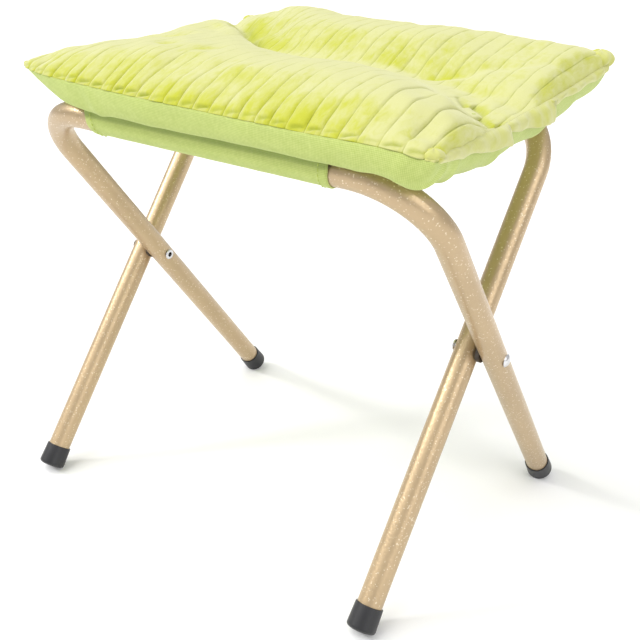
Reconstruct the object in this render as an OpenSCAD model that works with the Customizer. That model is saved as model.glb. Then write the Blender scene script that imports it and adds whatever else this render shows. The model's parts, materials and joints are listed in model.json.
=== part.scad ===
// Folding footstool with a padded fabric seat.
// Two U-shaped tube frames cross like scissors and turn on one rivet at each side.
// The seat is a cushion whose underside carries a cloth tunnel for each top bar.
// The origin is on the floor, midway between the four feet: X runs along the top bars,
// Y from the front bar to the rear bar, and Z is up. All sizes are in millimetres.

/* [Tube frames] */
// Outer diameter of the frame tube
tube_d = 18; // [14:0.5:24]
// Wall thickness of the frame tube
tube_wall = 1.2; // [0.8:0.1:2]
// Distance between the two leg centre lines of one frame
leg_span = 322; // [290:1:400]
// Centre-line radius of the two bends in each frame
bend_r = 50; // [30:1:60]
// Distance along the leg from the pivot to the top bar
upper_leg = 186.5; // [160:0.5:230]
// Distance along the leg from the pivot to the open end of the tube
lower_leg = 204.3; // [170:0.1:260]
// Distance between the two top bars when the stool stands open
bar_spread = 228; // [190:1:260]
// Gap between the tubes of the two frames at each pivot
frame_gap = 3; // [2:0.5:6]

/* [Pivot rivets and spacers] */
// Diameter of the rivet shank
rivet_d = 6; // [4:0.5:8]
// Gap all round the shank in the holes that it passes through
rivet_clear = 0.05; // [0.02:0.01:0.1]
// How far the domed rivet head reaches beyond the shank, all round
rivet_head_over = 1.8; // [1:0.1:4]
// Height of the domed rivet head
rivet_head_h = 2.2; // [1:0.1:4]
// How far the rolled-over end of the rivet reaches beyond the shank, all round
rivet_roll_over = 1.3; // [0.8:0.1:2.5]
// Height of the rolled-over end of the rivet
rivet_roll_h = 1.4; // [0.8:0.1:2.5]
// Wall of the hollow end of the rivet
rivet_wall = 0.9; // [0.6:0.1:1.4]
// Depth of the hole down the hollow end of the rivet
rivet_bore_depth = 8; // [4:0.5:14]
// Width of the plastic spacer ring between the tubes, from its hole outwards
spacer_w = 4; // [2:0.5:6]
// Gap left between a moving tube and the spacer or rivet end beside it
side_clear = 0.1; // [0.05:0.05:0.3]

/* [Foot caps] */
// Wall thickness of a foot cap at its open mouth
cap_wall = 1; // [0.8:0.1:2]
// How much wider a foot cap is at its sole than at its mouth, all round
cap_flare = 0.5; // [0:0.1:1.5]
// Length of tube that a foot cap covers
cap_cover = 15; // [8:0.5:25]
// Thickness of the sole of a foot cap
cap_sole = 3; // [2:0.5:6]
// Radius of the rounded edge round the sole
cap_edge_r = 2.5; // [1:0.1:3.5]
// Radius of the rounded lip at the mouth of a foot cap
cap_lip_r = 0.4; // [0.2:0.1:0.5]
// Depth of the flat worn where the edge of each cap stands on the floor
foot_flat = 0.5; // [0.3:0.1:1]
// Gap between the tube and the inside of a foot cap
cap_clear = 0.05; // [0.02:0.01:0.2]

/* [Bar sleeves] */
// Straight bare tube left beside the two ends of each cloth tunnel, on average
sleeve_end_gap = 11; // [4:1:40]
// How far each tunnel sits off the middle of its bar
sleeve_shift = 3; // [0:0.5:4]
// Thickness of the tunnel cloth
sleeve_t = 0.8; // [0.5:0.1:1.5]
// Gap between the tube and the tunnel cloth
sleeve_clear = 0.3; // [0.3:0.05:1]
// Thickness of the sewn edges of the tunnel, where its cloth is turned under
hem_t = 1.8; // [1:0.1:2.5]
// Height of the sewn edges of the tunnel below the seat
hem_h = 5; // [3:0.5:8]

/* [Cushion outline] */
// Width of the cushion along the bars, between its corners
pad_w = 332; // [290:1:345]
// How far the cushion reaches beyond the middle of each top bar
pad_overhang = 22; // [16:0.5:30]
// How far the middle of the cushion sits to the right of the pivot centre
pad_shift = 11; // [0:0.5:14]
// How far the front edge stands to the right of the middle, and the rear edge to the left
pad_skew = 5; // [0:0.5:8]
// How far the stuffing draws in the middle of each side edge
side_draw = 6; // [0:0.5:14]
// How far the stuffing draws in the middle of the front and rear edges
front_draw = 2; // [0:0.5:6]
// How far the rounded end of each wale bulges out along the front and rear edges
scallop = 1.4; // [0:0.1:3]

/* [Cushion height] */
// Height of the edge seam above the underside at the bars
seam_rise = 14; // [10:0.5:20]
// Height of the crown above the edge seam
crown = 25; // [18:0.5:34]
// How far the top sinks along the fold line, where the seat bends when the stool folds
fold_dip = 11; // [4:0.5:14]
// Reach of that dip, each way from the fold line
fold_reach = 28; // [15:1:45]
// How far the seat hangs below the bars along its middle line
seat_sag = 8; // [4:0.5:9]
// How far the middle of each side seam hangs below its ends
side_droop = 6; // [0:0.5:8]
// How far the overhanging edge bulges down in front of its bar
edge_bulge = 3; // [0:0.5:5]
// How far the corners of the seam curl up
corner_lift = 3; // [0:0.5:8]
// Gap between the tunnel cloth and the underside of the seat
seat_clear = 0.3; // [0.2:0.05:0.6]

/* [Cushion layers] */
// Number of wales in the plush across the cushion
wale_count = 30; // [20:2:30]
// Height of a wale above the groove beside it
wale_rise = 2.2; // [0.5:0.1:3]
// Thickness of the plush, pile and backing together
plush_t = 3; // [2:0.1:5]
// Thickness of the underside cloth
cloth_t = 1; // [0.6:0.1:1.6]
// Width of the seam allowance sewn all round the edge
seam_w = 4; // [3:0.5:7]
// Height of the filling at the seam allowance
seam_open = 1.2; // [0.8:0.1:2]
// Gap between two layers of the cushion
layer_gap = 0.15; // [0.1:0.05:0.3]
// Gap between the front and rear halves at the fold line
fold_gap = 0.3; // [0.2:0.05:0.6]

/* [Tufts] */
// Distance from the pivot centre to the front left tuft, to the left
front_left_tuft_x = 90; // [60:1:140]
// Distance from the fold line to the front left tuft, to the front
front_left_tuft_y = 32; // [20:1:90]
// Distance from the pivot centre to the front right tuft, to the right
front_right_tuft_x = 150; // [60:1:165]
// Distance from the fold line to the front right tuft, to the front
front_right_tuft_y = 56; // [20:1:90]
// Distance from the pivot centre to the rear left tuft, to the left
rear_left_tuft_x = 76; // [60:1:140]
// Distance from the fold line to the rear left tuft, to the rear
rear_left_tuft_y = 50; // [20:1:90]
// Distance from the pivot centre to the rear right tuft, to the right
rear_right_tuft_x = 88; // [60:1:150]
// Distance from the fold line to the rear right tuft, to the rear
rear_right_tuft_y = 46; // [20:1:90]
// Depth of the two tufts that pull hard, at the rear left and the front right
deep_tuft = 12; // [5:0.5:14]
// Depth of the two tufts that pull softly
soft_tuft = 5; // [2:0.5:10]
// Reach of the dimple across each tuft
tuft_r = 14; // [10:1:24]
// Reach of the crease that the rear left tuft pulls, each way from its middle
rear_crease = 46; // [14:1:60]
// Angle between that crease and the top bars
rear_crease_turn = 35; // [0:1:60]
// Reach of the crease that the front right tuft pulls, each way from its middle
front_crease = 21; // [14:1:40]
// Angle between that crease and the top bars
front_crease_turn = 50; // [0:1:70]
// Length of the thread tack in the bottom of each tuft
tack_len = 9; // [5:0.5:14]
// Thickness of the thread tack
tack_d = 1.8; // [1:0.1:3]
// Gap under the thread tack at the middle of its groove
tack_clear = 0.9; // [0.4:0.1:1]

/* [Hidden] */

// Each tuft: its middle, its depth, the reach of its crease and the crease's angle to the bars
front_tufts = [
    [-front_left_tuft_x, -front_left_tuft_y, soft_tuft, tuft_r, 0],
    [front_right_tuft_x, -front_right_tuft_y, deep_tuft, front_crease, front_crease_turn]
];
rear_tufts = [
    [-rear_left_tuft_x, rear_left_tuft_y, deep_tuft, rear_crease, rear_crease_turn],
    [rear_right_tuft_x, rear_right_tuft_y, soft_tuft, tuft_r, 0]
];

// Colours of the pieces
tube_colour = [0.80, 0.68, 0.52];
cap_colour = [0.13, 0.13, 0.14];
rivet_colour = [0.80, 0.81, 0.82];
spacer_colour = [0.22, 0.18, 0.14];
cloth_colour = [0.76, 0.86, 0.48];
plush_colour = [0.90, 0.92, 0.48];
filling_colour = [0.97, 0.97, 0.95];
thread_colour = [0.74, 0.80, 0.24];

// How far a cut runs past the face that it opens
cut_over = tube_wall / 2;

// Geometry of the crossed frames
bore_d = tube_d - 2 * tube_wall;
frame_shift = (tube_d + frame_gap) / 2;
bar_y = bar_spread / 2;
lean = asin(bar_y / upper_leg);
cap_end = lower_leg + cap_sole;
cap_mouth_r = tube_d / 2 + cap_clear + cap_wall;
cap_foot_r = cap_mouth_r + cap_flare;
cap_edge_reach = cap_foot_r - cap_edge_r;
pivot_z = (cap_end - cap_edge_r) * cos(lean) + cap_edge_reach * sin(lean) + cap_edge_r - foot_flat;
bar_z = pivot_z + upper_leg * cos(lean);
bar_len = leg_span - 2 * bend_r;
sleeve_len = bar_len - 2 * sleeve_end_gap;

// Geometry of one pivot, along X from the frame's outer face to the other frame's inner face
pivot_out = frame_shift + leg_span / 2 + tube_d / 2;
pivot_in = pivot_out - 2 * tube_d - frame_gap;
hole_d = rivet_d + 2 * rivet_clear;
rivet_head_r = rivet_d / 2 + rivet_head_over;
rivet_roll_r = rivet_d / 2 + rivet_roll_over;

// Geometry of the sleeves and the seat
sleeve_in_r = tube_d / 2 + sleeve_clear;
sleeve_out_r = sleeve_in_r + sleeve_t;
seat_z = bar_z + sleeve_out_r + seat_clear;
pad_d = bar_spread + 2 * pad_overhang;

// Grid of the cushion's inner faces, and how many outer columns and rows meet each inner one
coarse_cols = wale_count / 2;
plush_split = 4;
cloth_split = 2;
coarse_rows = 8;
row_split = 2;
// Power that crowds the rows towards the edge seam
row_crowd = 1.35;
// Powers of the top and underside profiles: higher is squarer towards the edge
top_square = 5;
under_side_square = 14;
under_front_square = 40;

// One U-shaped tube in its own frame: the pivot is at the origin and the bar is above it
module frame_outline(d, extra) {
    translate([-bar_len / 2, 0, upper_leg])
        rotate([0, 90, 0])
            cylinder(d = d, h = bar_len, $fn = 64);
    for (side = [-1, 1]) {
        translate([side * leg_span / 2, 0, upper_leg - bend_r])
            rotate([180, 0, 0])
                cylinder(d = d, h = upper_leg - bend_r + lower_leg + extra, $fn = 64);
        translate([side * bar_len / 2, 0, upper_leg - bend_r])
            rotate([90, 0, side > 0 ? 0 : 180])
                mirror([0, 0, side > 0 ? 0 : 1])
                    rotate_extrude(angle = 90, $fn = 96)
                        translate([bend_r, 0])
                            circle(d = d, $fn = 64);
    }
}

module bent_tube() {
    difference() {
        frame_outline(tube_d, 0);
        frame_outline(bore_d, cut_over);
        for (side = [-1, 1])
            translate([side * leg_span / 2 - tube_d, 0, 0])
                rotate([0, 90, 0])
                    cylinder(d = hole_d, h = 2 * tube_d, $fn = 48);
    }
}

// Puts a piece of the upright frame where the front frame stands
module on_front_frame() {
    translate([frame_shift, 0, pivot_z])
        rotate([lean, 0, 0])
            children();
}

// The rear frame is the front one turned half round
module on_rear_frame() {
    rotate([0, 0, 180])
        on_front_frame()
            children();
}

// Profile of a foot cap, from its axis outwards, with the tube's end at height 0
module cap_profile() {
    inner_r = tube_d / 2 + cap_clear;
    difference() {
        union() {
            polygon([
                [0, -cap_sole],
                [cap_foot_r - cap_edge_r, -cap_sole],
                [cap_foot_r, -cap_sole + cap_edge_r],
                [cap_mouth_r, cap_cover - cap_lip_r],
                [cap_mouth_r - cap_lip_r, cap_cover],
                [0, cap_cover]
            ]);
            translate([cap_foot_r - cap_edge_r, cap_edge_r - cap_sole])
                circle(r = cap_edge_r, $fn = 48);
            translate([cap_mouth_r - cap_lip_r, cap_cover - cap_lip_r])
                circle(r = cap_lip_r, $fn = 24);
        }
        translate([-cut_over, 0])
            square([inner_r + cut_over, cap_cover + cut_over]);
    }
}

// The edge of the sole that the cap stands on is worn flat at the floor
module foot_cap(side) {
    color(cap_colour)
        difference() {
            on_front_frame()
                translate([side * leg_span / 2, 0, -lower_leg])
                    rotate_extrude($fn = 96)
                        cap_profile();
            translate([frame_shift + side * leg_span / 2 - pivot_z / 2, 0, -pivot_z])
                cube([pivot_z, 2 * pivot_z, pivot_z]);
        }
}

// Domed head at x = pivot_out, hollow rolled-over end inside the other frame's leg
module rivet(head_gap, roll_gap) {
    dome_r = (pow(rivet_head_r, 2) + pow(rivet_head_h, 2)) / (2 * rivet_head_h);
    roll_r = rivet_roll_h / 2;
    shank_end = pivot_in - roll_gap - roll_r;
    head_at = pivot_out + head_gap;
    color(rivet_colour)
        translate([0, 0, pivot_z])
            rotate([0, 90, 0]) {
                difference() {
                    union() {
                        translate([0, 0, shank_end])
                            cylinder(d = rivet_d, h = head_at + rivet_head_h / 2 - shank_end, $fn = 48);
                        translate([0, 0, head_at])
                            intersection() {
                                translate([0, 0, rivet_head_h - dome_r])
                                    sphere(r = dome_r, $fn = 96);
                                cylinder(r = rivet_head_r, h = 2 * rivet_head_h, $fn = 96);
                            }
                        translate([0, 0, shank_end])
                            rotate_extrude($fn = 96)
                                translate([rivet_roll_r - roll_r, 0])
                                    circle(r = roll_r, $fn = 32);
                        translate([0, 0, shank_end - roll_r])
                            cylinder(r = rivet_roll_r - roll_r, h = rivet_roll_h, $fn = 96);
                    }
                    translate([0, 0, shank_end - rivet_roll_h])
                        cylinder(
                            d = rivet_d - 2 * rivet_wall,
                            h = rivet_roll_h + rivet_bore_depth,
                            $fn = 48
                        );
                }
            }
}

// Plastic ring round the shank: it lies against the tube nearer the head or the rolled end
module spacer(to_head) {
    inner_face = pivot_in + tube_d;
    color(spacer_colour)
        translate([inner_face + (to_head ? side_clear : 0), 0, pivot_z])
            rotate([0, 90, 0])
                difference() {
                    cylinder(r = hole_d / 2 + spacer_w, h = frame_gap - side_clear, $fn = 64);
                    translate([0, 0, -cut_over])
                        cylinder(d = hole_d, h = frame_gap + 2 * cut_over, $fn = 48);
                }
}

// Depth of the underside below its height at the bars: between them, and beyond each tunnel
bulge_from = bar_y + sleeve_out_r;
bulge_w = pad_overhang - sleeve_out_r;
function sag(y) = abs(y) < bar_y ? seat_sag * (0.5 + 0.5 * cos(180 * y / bar_y)) : 0;
function bulge(y) =
    abs(y) > bulge_from ? edge_bulge * max(0, sin(180 * (abs(y) - bulge_from) / bulge_w)) : 0;
function dip(y) = sag(y) + bulge(y);

// Section of the cloth tunnel about the bar: round below, with two sewn edges up to the seat
module tunnel_section() {
    difference() {
        union() {
            circle(r = sleeve_out_r, $fn = 64);
            for (side = [-1, 1]) {
                edge_top = sleeve_out_r - (side > 0 ? sag(bar_y - sleeve_in_r - hem_t) : 0.7 * edge_bulge);
                translate([side > 0 ? sleeve_in_r : -sleeve_out_r, 0])
                    square([sleeve_t, edge_top]);
                translate([side > 0 ? sleeve_in_r : -sleeve_in_r - hem_t, edge_top - hem_h])
                    square([hem_t, hem_h]);
            }
        }
        circle(r = sleeve_in_r, $fn = 64);
        translate([-sleeve_in_r, 0])
            square([2 * sleeve_in_r, 2 * sleeve_out_r]);
    }
}

// Tunnel round the front bar, a little to the right of the middle between the bends
module bar_sleeve() {
    color(cloth_colour)
        translate([frame_shift + sleeve_shift - sleeve_len / 2, -bar_y, bar_z])
            rotate([90, 0, 90])
                linear_extrude(height = sleeve_len)
                    tunnel_section();
}

// Surfaces of the cushion over u (left to right, -1 to 1) and v (front to rear, -1 to 1)
function half_w(v) = pad_w / 2 - side_draw * (1 - v * v);
function half_d(u) = pad_d / 2 - scallop - front_draw * (1 - u * u);
function pad_x(u, v) = pad_shift - pad_skew * v + u * half_w(v);
function pad_y(u, v) = v * (half_d(u) - fold_gap / 2);
function droop(v) = side_droop * (1 - v * v);
function rim_z(u, v) = seat_z + seam_rise + corner_lift * pow(u * v, 4) - droop(v);
function swell(u, v, pu, pv) = sqrt(max(0, 1 - pow(abs(u), pu)) * max(0, 1 - pow(abs(v), pv)));
function dimple(x, y, spot) =
    let (
        along = (x - spot[0]) * cos(spot[4]) - (y - spot[1]) * sin(spot[4]),
        across = (x - spot[0]) * sin(spot[4]) + (y - spot[1]) * cos(spot[4])
    )
    spot[2] * exp(-pow(along / spot[3], 2) - pow(across / tuft_r, 2));
function dimples(x, y, spots, i = 0) =
    i == len(spots) ? 0 : dimple(x, y, spots[i]) + dimples(x, y, spots, i + 1);
function wale(u) = abs(sin(90 * wale_count * u));

// Height of the crown over the seam: two level halves with a dip between them, and the tufts
function crown_over(u, v) = crown + droop(v) - fold_dip * exp(-pow(pad_y(u, v) / fold_reach, 2))
    - dimples(pad_x(u, v), pad_y(u, v), concat(front_tufts, rear_tufts));
function crown_h(u, v) = swell(u, v, top_square, top_square) * crown_over(u, v);
function plush_top(u, v) = rim_z(u, v) + layer_gap / 2 + crown_h(u, v)
    + wale_rise * wale(u) * swell(u, v, top_square, 2 * top_square);
function under_z(u, v) = rim_z(u, v) - layer_gap / 2
    - (rim_z(u, v) - layer_gap / 2 - seat_z + dip(pad_y(u, v)))
    * swell(u, v, under_side_square, under_front_square);

// Inner faces of plush and cloth start inside the seam allowance, at p and q from -1 to 1
inset_u = 1 - 2 * seam_w / pad_w;
inset_v = 1 - 2 * seam_w / pad_d;
function lining_z(p, q) = rim_z(p * inset_u, q * inset_v) + seam_open / 2
    + swell(p, q, top_square, top_square)
    * (crown_over(p * inset_u, q * inset_v) - plush_t - seam_open);
function tray_z(p, q) = rim_z(p * inset_u, q * inset_v) - seam_open / 2
    - swell(p, q, under_side_square, under_front_square)
    * (rim_z(p * inset_u, q * inset_v) - seam_open / 2 - cloth_t - seat_z
    + dip(pad_y(p * inset_u, q * inset_v)));

// Rows run from the edge seam, v = 1, to the fold line, v = 0
function row_v(j, rows) = 1 - pow(j / rows, row_crowd);

// Points of each surface, row by row; half is -1 for the front half and 1 for the rear half,
// and run is 1 where the columns go from left to right, -1 where they go from right to left
function col_u(i, cols, run) = run * (2 * i / cols - 1);
function plush_points(half, cols, rows, run) = [
    for (j = [0 : rows], i = [0 : cols])
        let (u = col_u(i, cols, run), v = half * row_v(j, rows), edge = pow(abs(v), 8))
            [pad_x(u, v), pad_y(u, v) + half * (fold_gap / 2 + scallop * wale(u) * edge), plush_top(u, v)]
];
function under_points(half, cols, rows, run) = [
    for (j = [0 : rows], i = [0 : cols])
        let (u = col_u(i, cols, run), v = half * row_v(j, rows))
            [pad_x(u, v), pad_y(u, v) + half * fold_gap / 2, under_z(u, v)]
];
function inner_point(p, q, half, z) =
    [pad_x(p * inset_u, q * inset_v), pad_y(p * inset_u, q * inset_v) + half * fold_gap / 2, z];
function lining_points(half, cols, rows, run, drop) = [
    for (j = [0 : rows], i = [0 : cols])
        let (p = col_u(i, cols, run), q = half * row_v(j, rows))
            inner_point(p, q, half, lining_z(p, q) - drop)
];
function tray_points(half, cols, rows, run, lift) = [
    for (j = [0 : rows], i = [0 : cols])
        let (p = col_u(i, cols, run), q = half * row_v(j, rows))
            inner_point(p, q, half, tray_z(p, q) + lift)
];

// Triangles of one grid whose points start at index first; counter splits each cell the other way
function grid_faces(first, cols, rows, counter = false) = [
    for (j = [0 : rows - 1], i = [0 : cols - 1], part = [0, 1])
        let (a = first + j * (cols + 1) + i, b = a + 1, c = a + cols + 1, d = c + 1)
            counter ? (part == 0 ? [a, b, c] : [b, d, c]) : (part == 0 ? [a, b, d] : [a, d, c])
];

// Indices round the edge of a grid: along row 0, up the last column, and back
function grid_edge(first, cols, rows) = concat(
    [for (i = [0 : cols - 1]) first + i],
    [for (j = [0 : rows - 1]) first + j * (cols + 1) + cols],
    [for (i = [cols : -1 : 1]) first + rows * (cols + 1) + i],
    [for (j = [rows : -1 : 1]) first + j * (cols + 1)]
);

// Strip between one stretch of a coarse edge and the fine edge outside it
function strip_faces(fine, coarse, from_fine, from_coarse, steps, split) =
    let (turn = ceil(split / 2), fn = len(fine), cn = len(coarse))
    [
        for (s = [0 : steps - 1], t = [0 : split])
            let (
                a = coarse[(from_coarse + s) % cn],
                b = coarse[(from_coarse + s + 1) % cn],
                start = from_fine + s * split,
                c = fine[(start + t) % fn],
                d = fine[(start + t + 1) % fn]
            )
            t == split ? [fine[(start + turn) % fn], b, a] : [c, d, t < turn ? a : b]
    ];

function turned(faces) = [for (f = faces) [f[2], f[1], f[0]]];

// Solid between an outer grid and a coarser inner one
module quilted_solid(outer, inner, cols, rows, col_split, split_rows, counter = false) {
    fine_c = cols * col_split;
    fine_r = rows * split_rows;
    base = len(outer);
    fine = grid_edge(0, fine_c, fine_r);
    coarse = grid_edge(base, cols, rows);
    strips = concat(
        strip_faces(fine, coarse, 0, 0, cols, col_split),
        strip_faces(fine, coarse, fine_c, cols, rows, split_rows),
        strip_faces(fine, coarse, fine_c + fine_r, cols + rows, cols, col_split),
        strip_faces(fine, coarse, 2 * fine_c + fine_r, 2 * cols + rows, rows, split_rows)
    );
    inside = turned(grid_faces(base, cols, rows, counter));
    faces = concat(grid_faces(0, fine_c, fine_r), inside, turned(strips));
    polyhedron(points = concat(outer, inner), faces = faces, convexity = 6);
}

// Ribbed plush cover of one half: wales outside, smooth backing inside
module plush_cover(half) {
    color(plush_colour)
        quilted_solid(
            plush_points(half, coarse_cols * plush_split, coarse_rows * row_split, half),
            lining_points(half, coarse_cols, coarse_rows, half, 0),
            coarse_cols, coarse_rows, plush_split, row_split
        );
}

// Loose fibre filling between the plush and the underside cloth
module filling(half) {
    color(filling_colour)
        quilted_solid(
            lining_points(half, coarse_cols, coarse_rows, half, layer_gap),
            tray_points(half, coarse_cols, coarse_rows, half, layer_gap),
            coarse_cols, coarse_rows, 1, 1, true
        );
}

// Woven cloth of the underside, which turns up to the edge seam
module seat_cloth(half) {
    color(cloth_colour)
        quilted_solid(
            under_points(half, coarse_cols * cloth_split, coarse_rows * row_split, -half),
            tray_points(half, coarse_cols, coarse_rows, -half, 0),
            coarse_cols, coarse_rows, cloth_split, row_split
        );
}

// Thread tacks that hold the plush down, each along the groove nearest to its tuft's middle
function v_at(y) = y / (pad_d / 2);
function tuft_u(spot) = (spot[0] - pad_shift + pad_skew * v_at(spot[1])) / half_w(v_at(spot[1]));
function groove_u(spot) = round(tuft_u(spot) * wale_count / 2) * 2 / wale_count;
module tuft_tacks(spots) {
    color(thread_colour)
        for (spot = spots) {
            u = groove_u(spot);
            front_z = plush_top(u, v_at(spot[1] - tack_len / 2));
            rear_z = plush_top(u, v_at(spot[1] + tack_len / 2));
            tilt = atan2(rear_z - front_z, tack_len);
            translate([pad_x(u, v_at(spot[1])), spot[1], (front_z + rear_z) / 2 + tack_d / 2 + tack_clear])
                rotate([tilt - 90, 0, 0]) {
                    cylinder(d = tack_d, h = tack_len - tack_d, center = true, $fn = 24);
                    for (side = [-1, 1])
                        translate([0, 0, side * (tack_len - tack_d) / 2])
                            sphere(d = tack_d, $fn = 24);
                }
        }
}

module front_frame_tube() {
    color(tube_colour)
        on_front_frame()
            bent_tube();
}

module rear_frame_tube() {
    color(tube_colour)
        on_rear_frame()
            bent_tube();
}

front_frame_tube();
rear_frame_tube();
foot_cap(-1);  // front_frame_cap_left
foot_cap(1);  // front_frame_cap_right
rotate([0, 0, 180]) foot_cap(1);  // rear_frame_cap_left
rotate([0, 0, 180]) foot_cap(-1);  // rear_frame_cap_right
rotate([0, 0, 180]) rivet(side_clear, 0);  // pivot_rivet_left
rivet(0, side_clear);  // pivot_rivet_right
rotate([0, 0, 180]) spacer(false);  // pivot_spacer_left
spacer(true);  // pivot_spacer_right
bar_sleeve();  // front_sleeve
rotate([0, 0, 180]) bar_sleeve();  // rear_sleeve
plush_cover(-1);  // plush_cover_front
plush_cover(1);  // plush_cover_rear
filling(-1);  // filling_front
filling(1);  // filling_rear
seat_cloth(-1);  // seat_cloth_front
seat_cloth(1);  // seat_cloth_rear
tuft_tacks(front_tufts);  // tuft_tacks_front
tuft_tacks(rear_tufts);  // tuft_tacks_rear
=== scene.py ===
"""Looks of the folding footstool: plush cushion, underside cloth, tunnels, stitching, finishes and stage."""

import json
import math

import bmesh
import bpy
import numpy as np
from bpy.props import FloatProperty, FloatVectorProperty, IntProperty, PointerProperty
from mathutils import Matrix, Vector

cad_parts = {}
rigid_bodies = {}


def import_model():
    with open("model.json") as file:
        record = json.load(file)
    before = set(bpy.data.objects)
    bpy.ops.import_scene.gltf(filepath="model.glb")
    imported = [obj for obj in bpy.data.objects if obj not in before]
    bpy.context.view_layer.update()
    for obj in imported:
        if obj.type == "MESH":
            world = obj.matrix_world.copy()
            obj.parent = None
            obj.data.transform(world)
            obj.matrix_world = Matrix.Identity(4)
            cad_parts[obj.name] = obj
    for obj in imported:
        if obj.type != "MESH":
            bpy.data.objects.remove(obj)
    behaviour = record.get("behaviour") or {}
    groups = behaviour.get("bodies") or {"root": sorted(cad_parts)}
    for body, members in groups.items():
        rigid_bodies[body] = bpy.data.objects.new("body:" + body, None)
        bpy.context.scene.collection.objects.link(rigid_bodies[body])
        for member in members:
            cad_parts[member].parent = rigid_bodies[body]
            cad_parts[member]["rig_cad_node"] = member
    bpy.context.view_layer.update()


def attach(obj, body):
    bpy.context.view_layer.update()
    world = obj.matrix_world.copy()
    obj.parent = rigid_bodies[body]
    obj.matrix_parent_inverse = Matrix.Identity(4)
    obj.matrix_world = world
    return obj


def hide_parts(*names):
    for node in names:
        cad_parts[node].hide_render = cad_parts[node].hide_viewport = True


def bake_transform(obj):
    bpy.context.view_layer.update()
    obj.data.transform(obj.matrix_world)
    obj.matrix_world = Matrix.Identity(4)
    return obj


bl_info = {
    "name": "Folding footstool",
    "version": (1, 0, 0),
    "blender": (4, 5, 0),
    "location": "View3D > Sidebar > Footstool",
    "description": "Builds the soft parts and finishes of a folding footstool round its CAD frame",
    "category": "Object",
}

MM = 0.001
FRONT, REAR, REAR_BAR = "seat_front", "seat_rear", "rear_bar_sleeve"

# Place of the top bars, and the tunnels round them, in millimetres
BAR_Y, BAR_Z = 114.0, 316.607
# Inner radius of a tunnel, points round it, width of its hems, and how high its outer and inner sides reach
TUNNEL_R, TUNNEL_POINTS, HEM, OUTER_RISE, INNER_RISE = 9.1, 40, 7.0, 9.4, 8.4
# Length of a stitch of the tunnels, and the share by which it lies further out than the cloth
STITCH_LENGTH, STITCH_LIFT = 2.3, 0.012
# Pitch, length and radius of the stitches of a tuft, and half the length of its rows
TACK_PITCH, TACK_LENGTH, TACK_RADIUS, TACK_REACH = 1.1, 1.9, 0.38, 4
# Cloth tunnels: piece, its stitches, the node that it replaces, body, side that faces out (y), left and right end
TUNNELS = (("front_bar_tunnel", "front_bar_stitches", "front_sleeve", FRONT, -1, -86.5, 113.5),
           ("rear_bar_tunnel", "rear_bar_stitches", "rear_sleeve", REAR_BAR, 1, -113.5, 86.5))

# Heights of the plush and of the underside, how far that sags between the bars and swells beyond them, and its lining
TOP_Z, UNDER_Z, SAG, OVERHANG_SWELL, LINING_GAP = 362.4, 327, 8, 3.2, 1.2
# Columns and rows of the simulated cushion, and rows and columns of the underside cloth
FORM_COLS, FORM_ROWS, CLOTH_ROWS, CLOTH_COLS = 97, 81, 151, 171

# Corners of the edge seam, in millimetres
NEAR_LEFT = (-150, -119, 345)
NEAR_RIGHT = (184, -132, 338)
FAR_LEFT = (-160, 139.5, 347)
FAR_RIGHT = (174, 140.5, 350)

# How far each seam line leaves the straight line between its corners: (place, x, y, z)
FRONT_BOW = ((-1, 0, 0, 0), (-0.93, 0, -6, 1), (-0.8, 0, -12, 1.2), (-0.5, 0, -12.5, 0.4),
             (0, 0, -9.5, 0.5), (0.5, 0, -6, 1.2), (0.85, 0, -3, 2), (1, 0, 0, 0))
REAR_BOW = ((-1, 0, 0, 0), (-0.6, 0, -2, -1), (0, 0, -2.5, -4), (0.6, 0, -2, -5), (0.9, 0, -1, -3), (1, 0, 0, 0))
LEFT_BOW = ((-1, 0, 0, 0), (-0.5, 4, 0, -5), (0, 5, 0, -8), (0.5, 4, 0, -5), (1, 0, 0, 0))
RIGHT_BOW = ((-1, 0, 0, 0), (-0.7, -2, 0, -2), (-0.3, -3, 0, -5.5), (0, -3, 0, -6),
             (0.4, -3, 0, -6), (0.75, -2, 0, -4), (1, 0, 0, 0))

# Height of the underside along the right edge: (y, z)
RIGHT_UNDER = ((-140, 321), (-120, 319.5), (-92, 314.6), (-62, 312), (-36, 311), (0, 312), (32, 313.5),
               (70, 317.5), (100, 322), (145, 328))
# How far the front and rear bands lift towards their left ends: (x, lift)
LEFT_TAPER = ((-165, 21), (-141, 19), (-117, 10), (-100, 3.5), (-80, 0.5), (-50, 0), (190, 0))

# Trough between the front and rear bulges: x, then y of its bottom, depth, reach to the front and to the rear
TROUGH = ((-178, 130, 3, 16, 24), (-146, 103, 8, 14, 28), (-105, 66, 13, 12, 30), (-69, 31, 16, 10, 32),
          (-40, 11, 16, 16, 32), (-10, 4, 15.5, 30, 30), (30, 6, 15.5, 38, 30), (60, 9, 16, 42, 32),
          (100, 4, 17, 42, 42), (130, -8, 19, 38, 50), (150, -24, 21, 34, 54), (168, -38, 24, 32, 54),
          (190, -48, 26, 30, 50))
# Small dimples of the plush: x, y, depth, length, width and turn in degrees
DIMPLES = ((-57, -73, 2.4, 9, 8, 0), (-23, -76, 2.2, 12, 8, 60), (-90, -32, 3, 12, 9, 0), (99, 19.5, 2.8, 15, 5, 32),
           (162, -124, 1.6, 6, 4, 0))
# Middle of the thread tacks of each half
TACKS = {FRONT: ((-90, -32), (156, -32)), REAR: ((-82, 44), (99, 19.5))}
# Scallops of the sewn side edges: from y, to y, hang at each end and how soon it grows
FLAPS = ((-129, -37, 2.5, 11.5, 1.2), (-38, 35, 1.5, 13.5, 0.75), (32, 132, 2.5, 3.8, 1.0))
# Cross-section of a scallop: (share of its hang, side of the cloth in half thicknesses)
FLAP_SECTION = ((0, 1), (0.4, 1.1), (0.75, 1.15), (0.93, 0.8), (1, 0.1), (0.97, -0.6), (0.9, -0.9), (0.6, -0.9),
                (0.3, -0.8), (0, -0.8))
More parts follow.
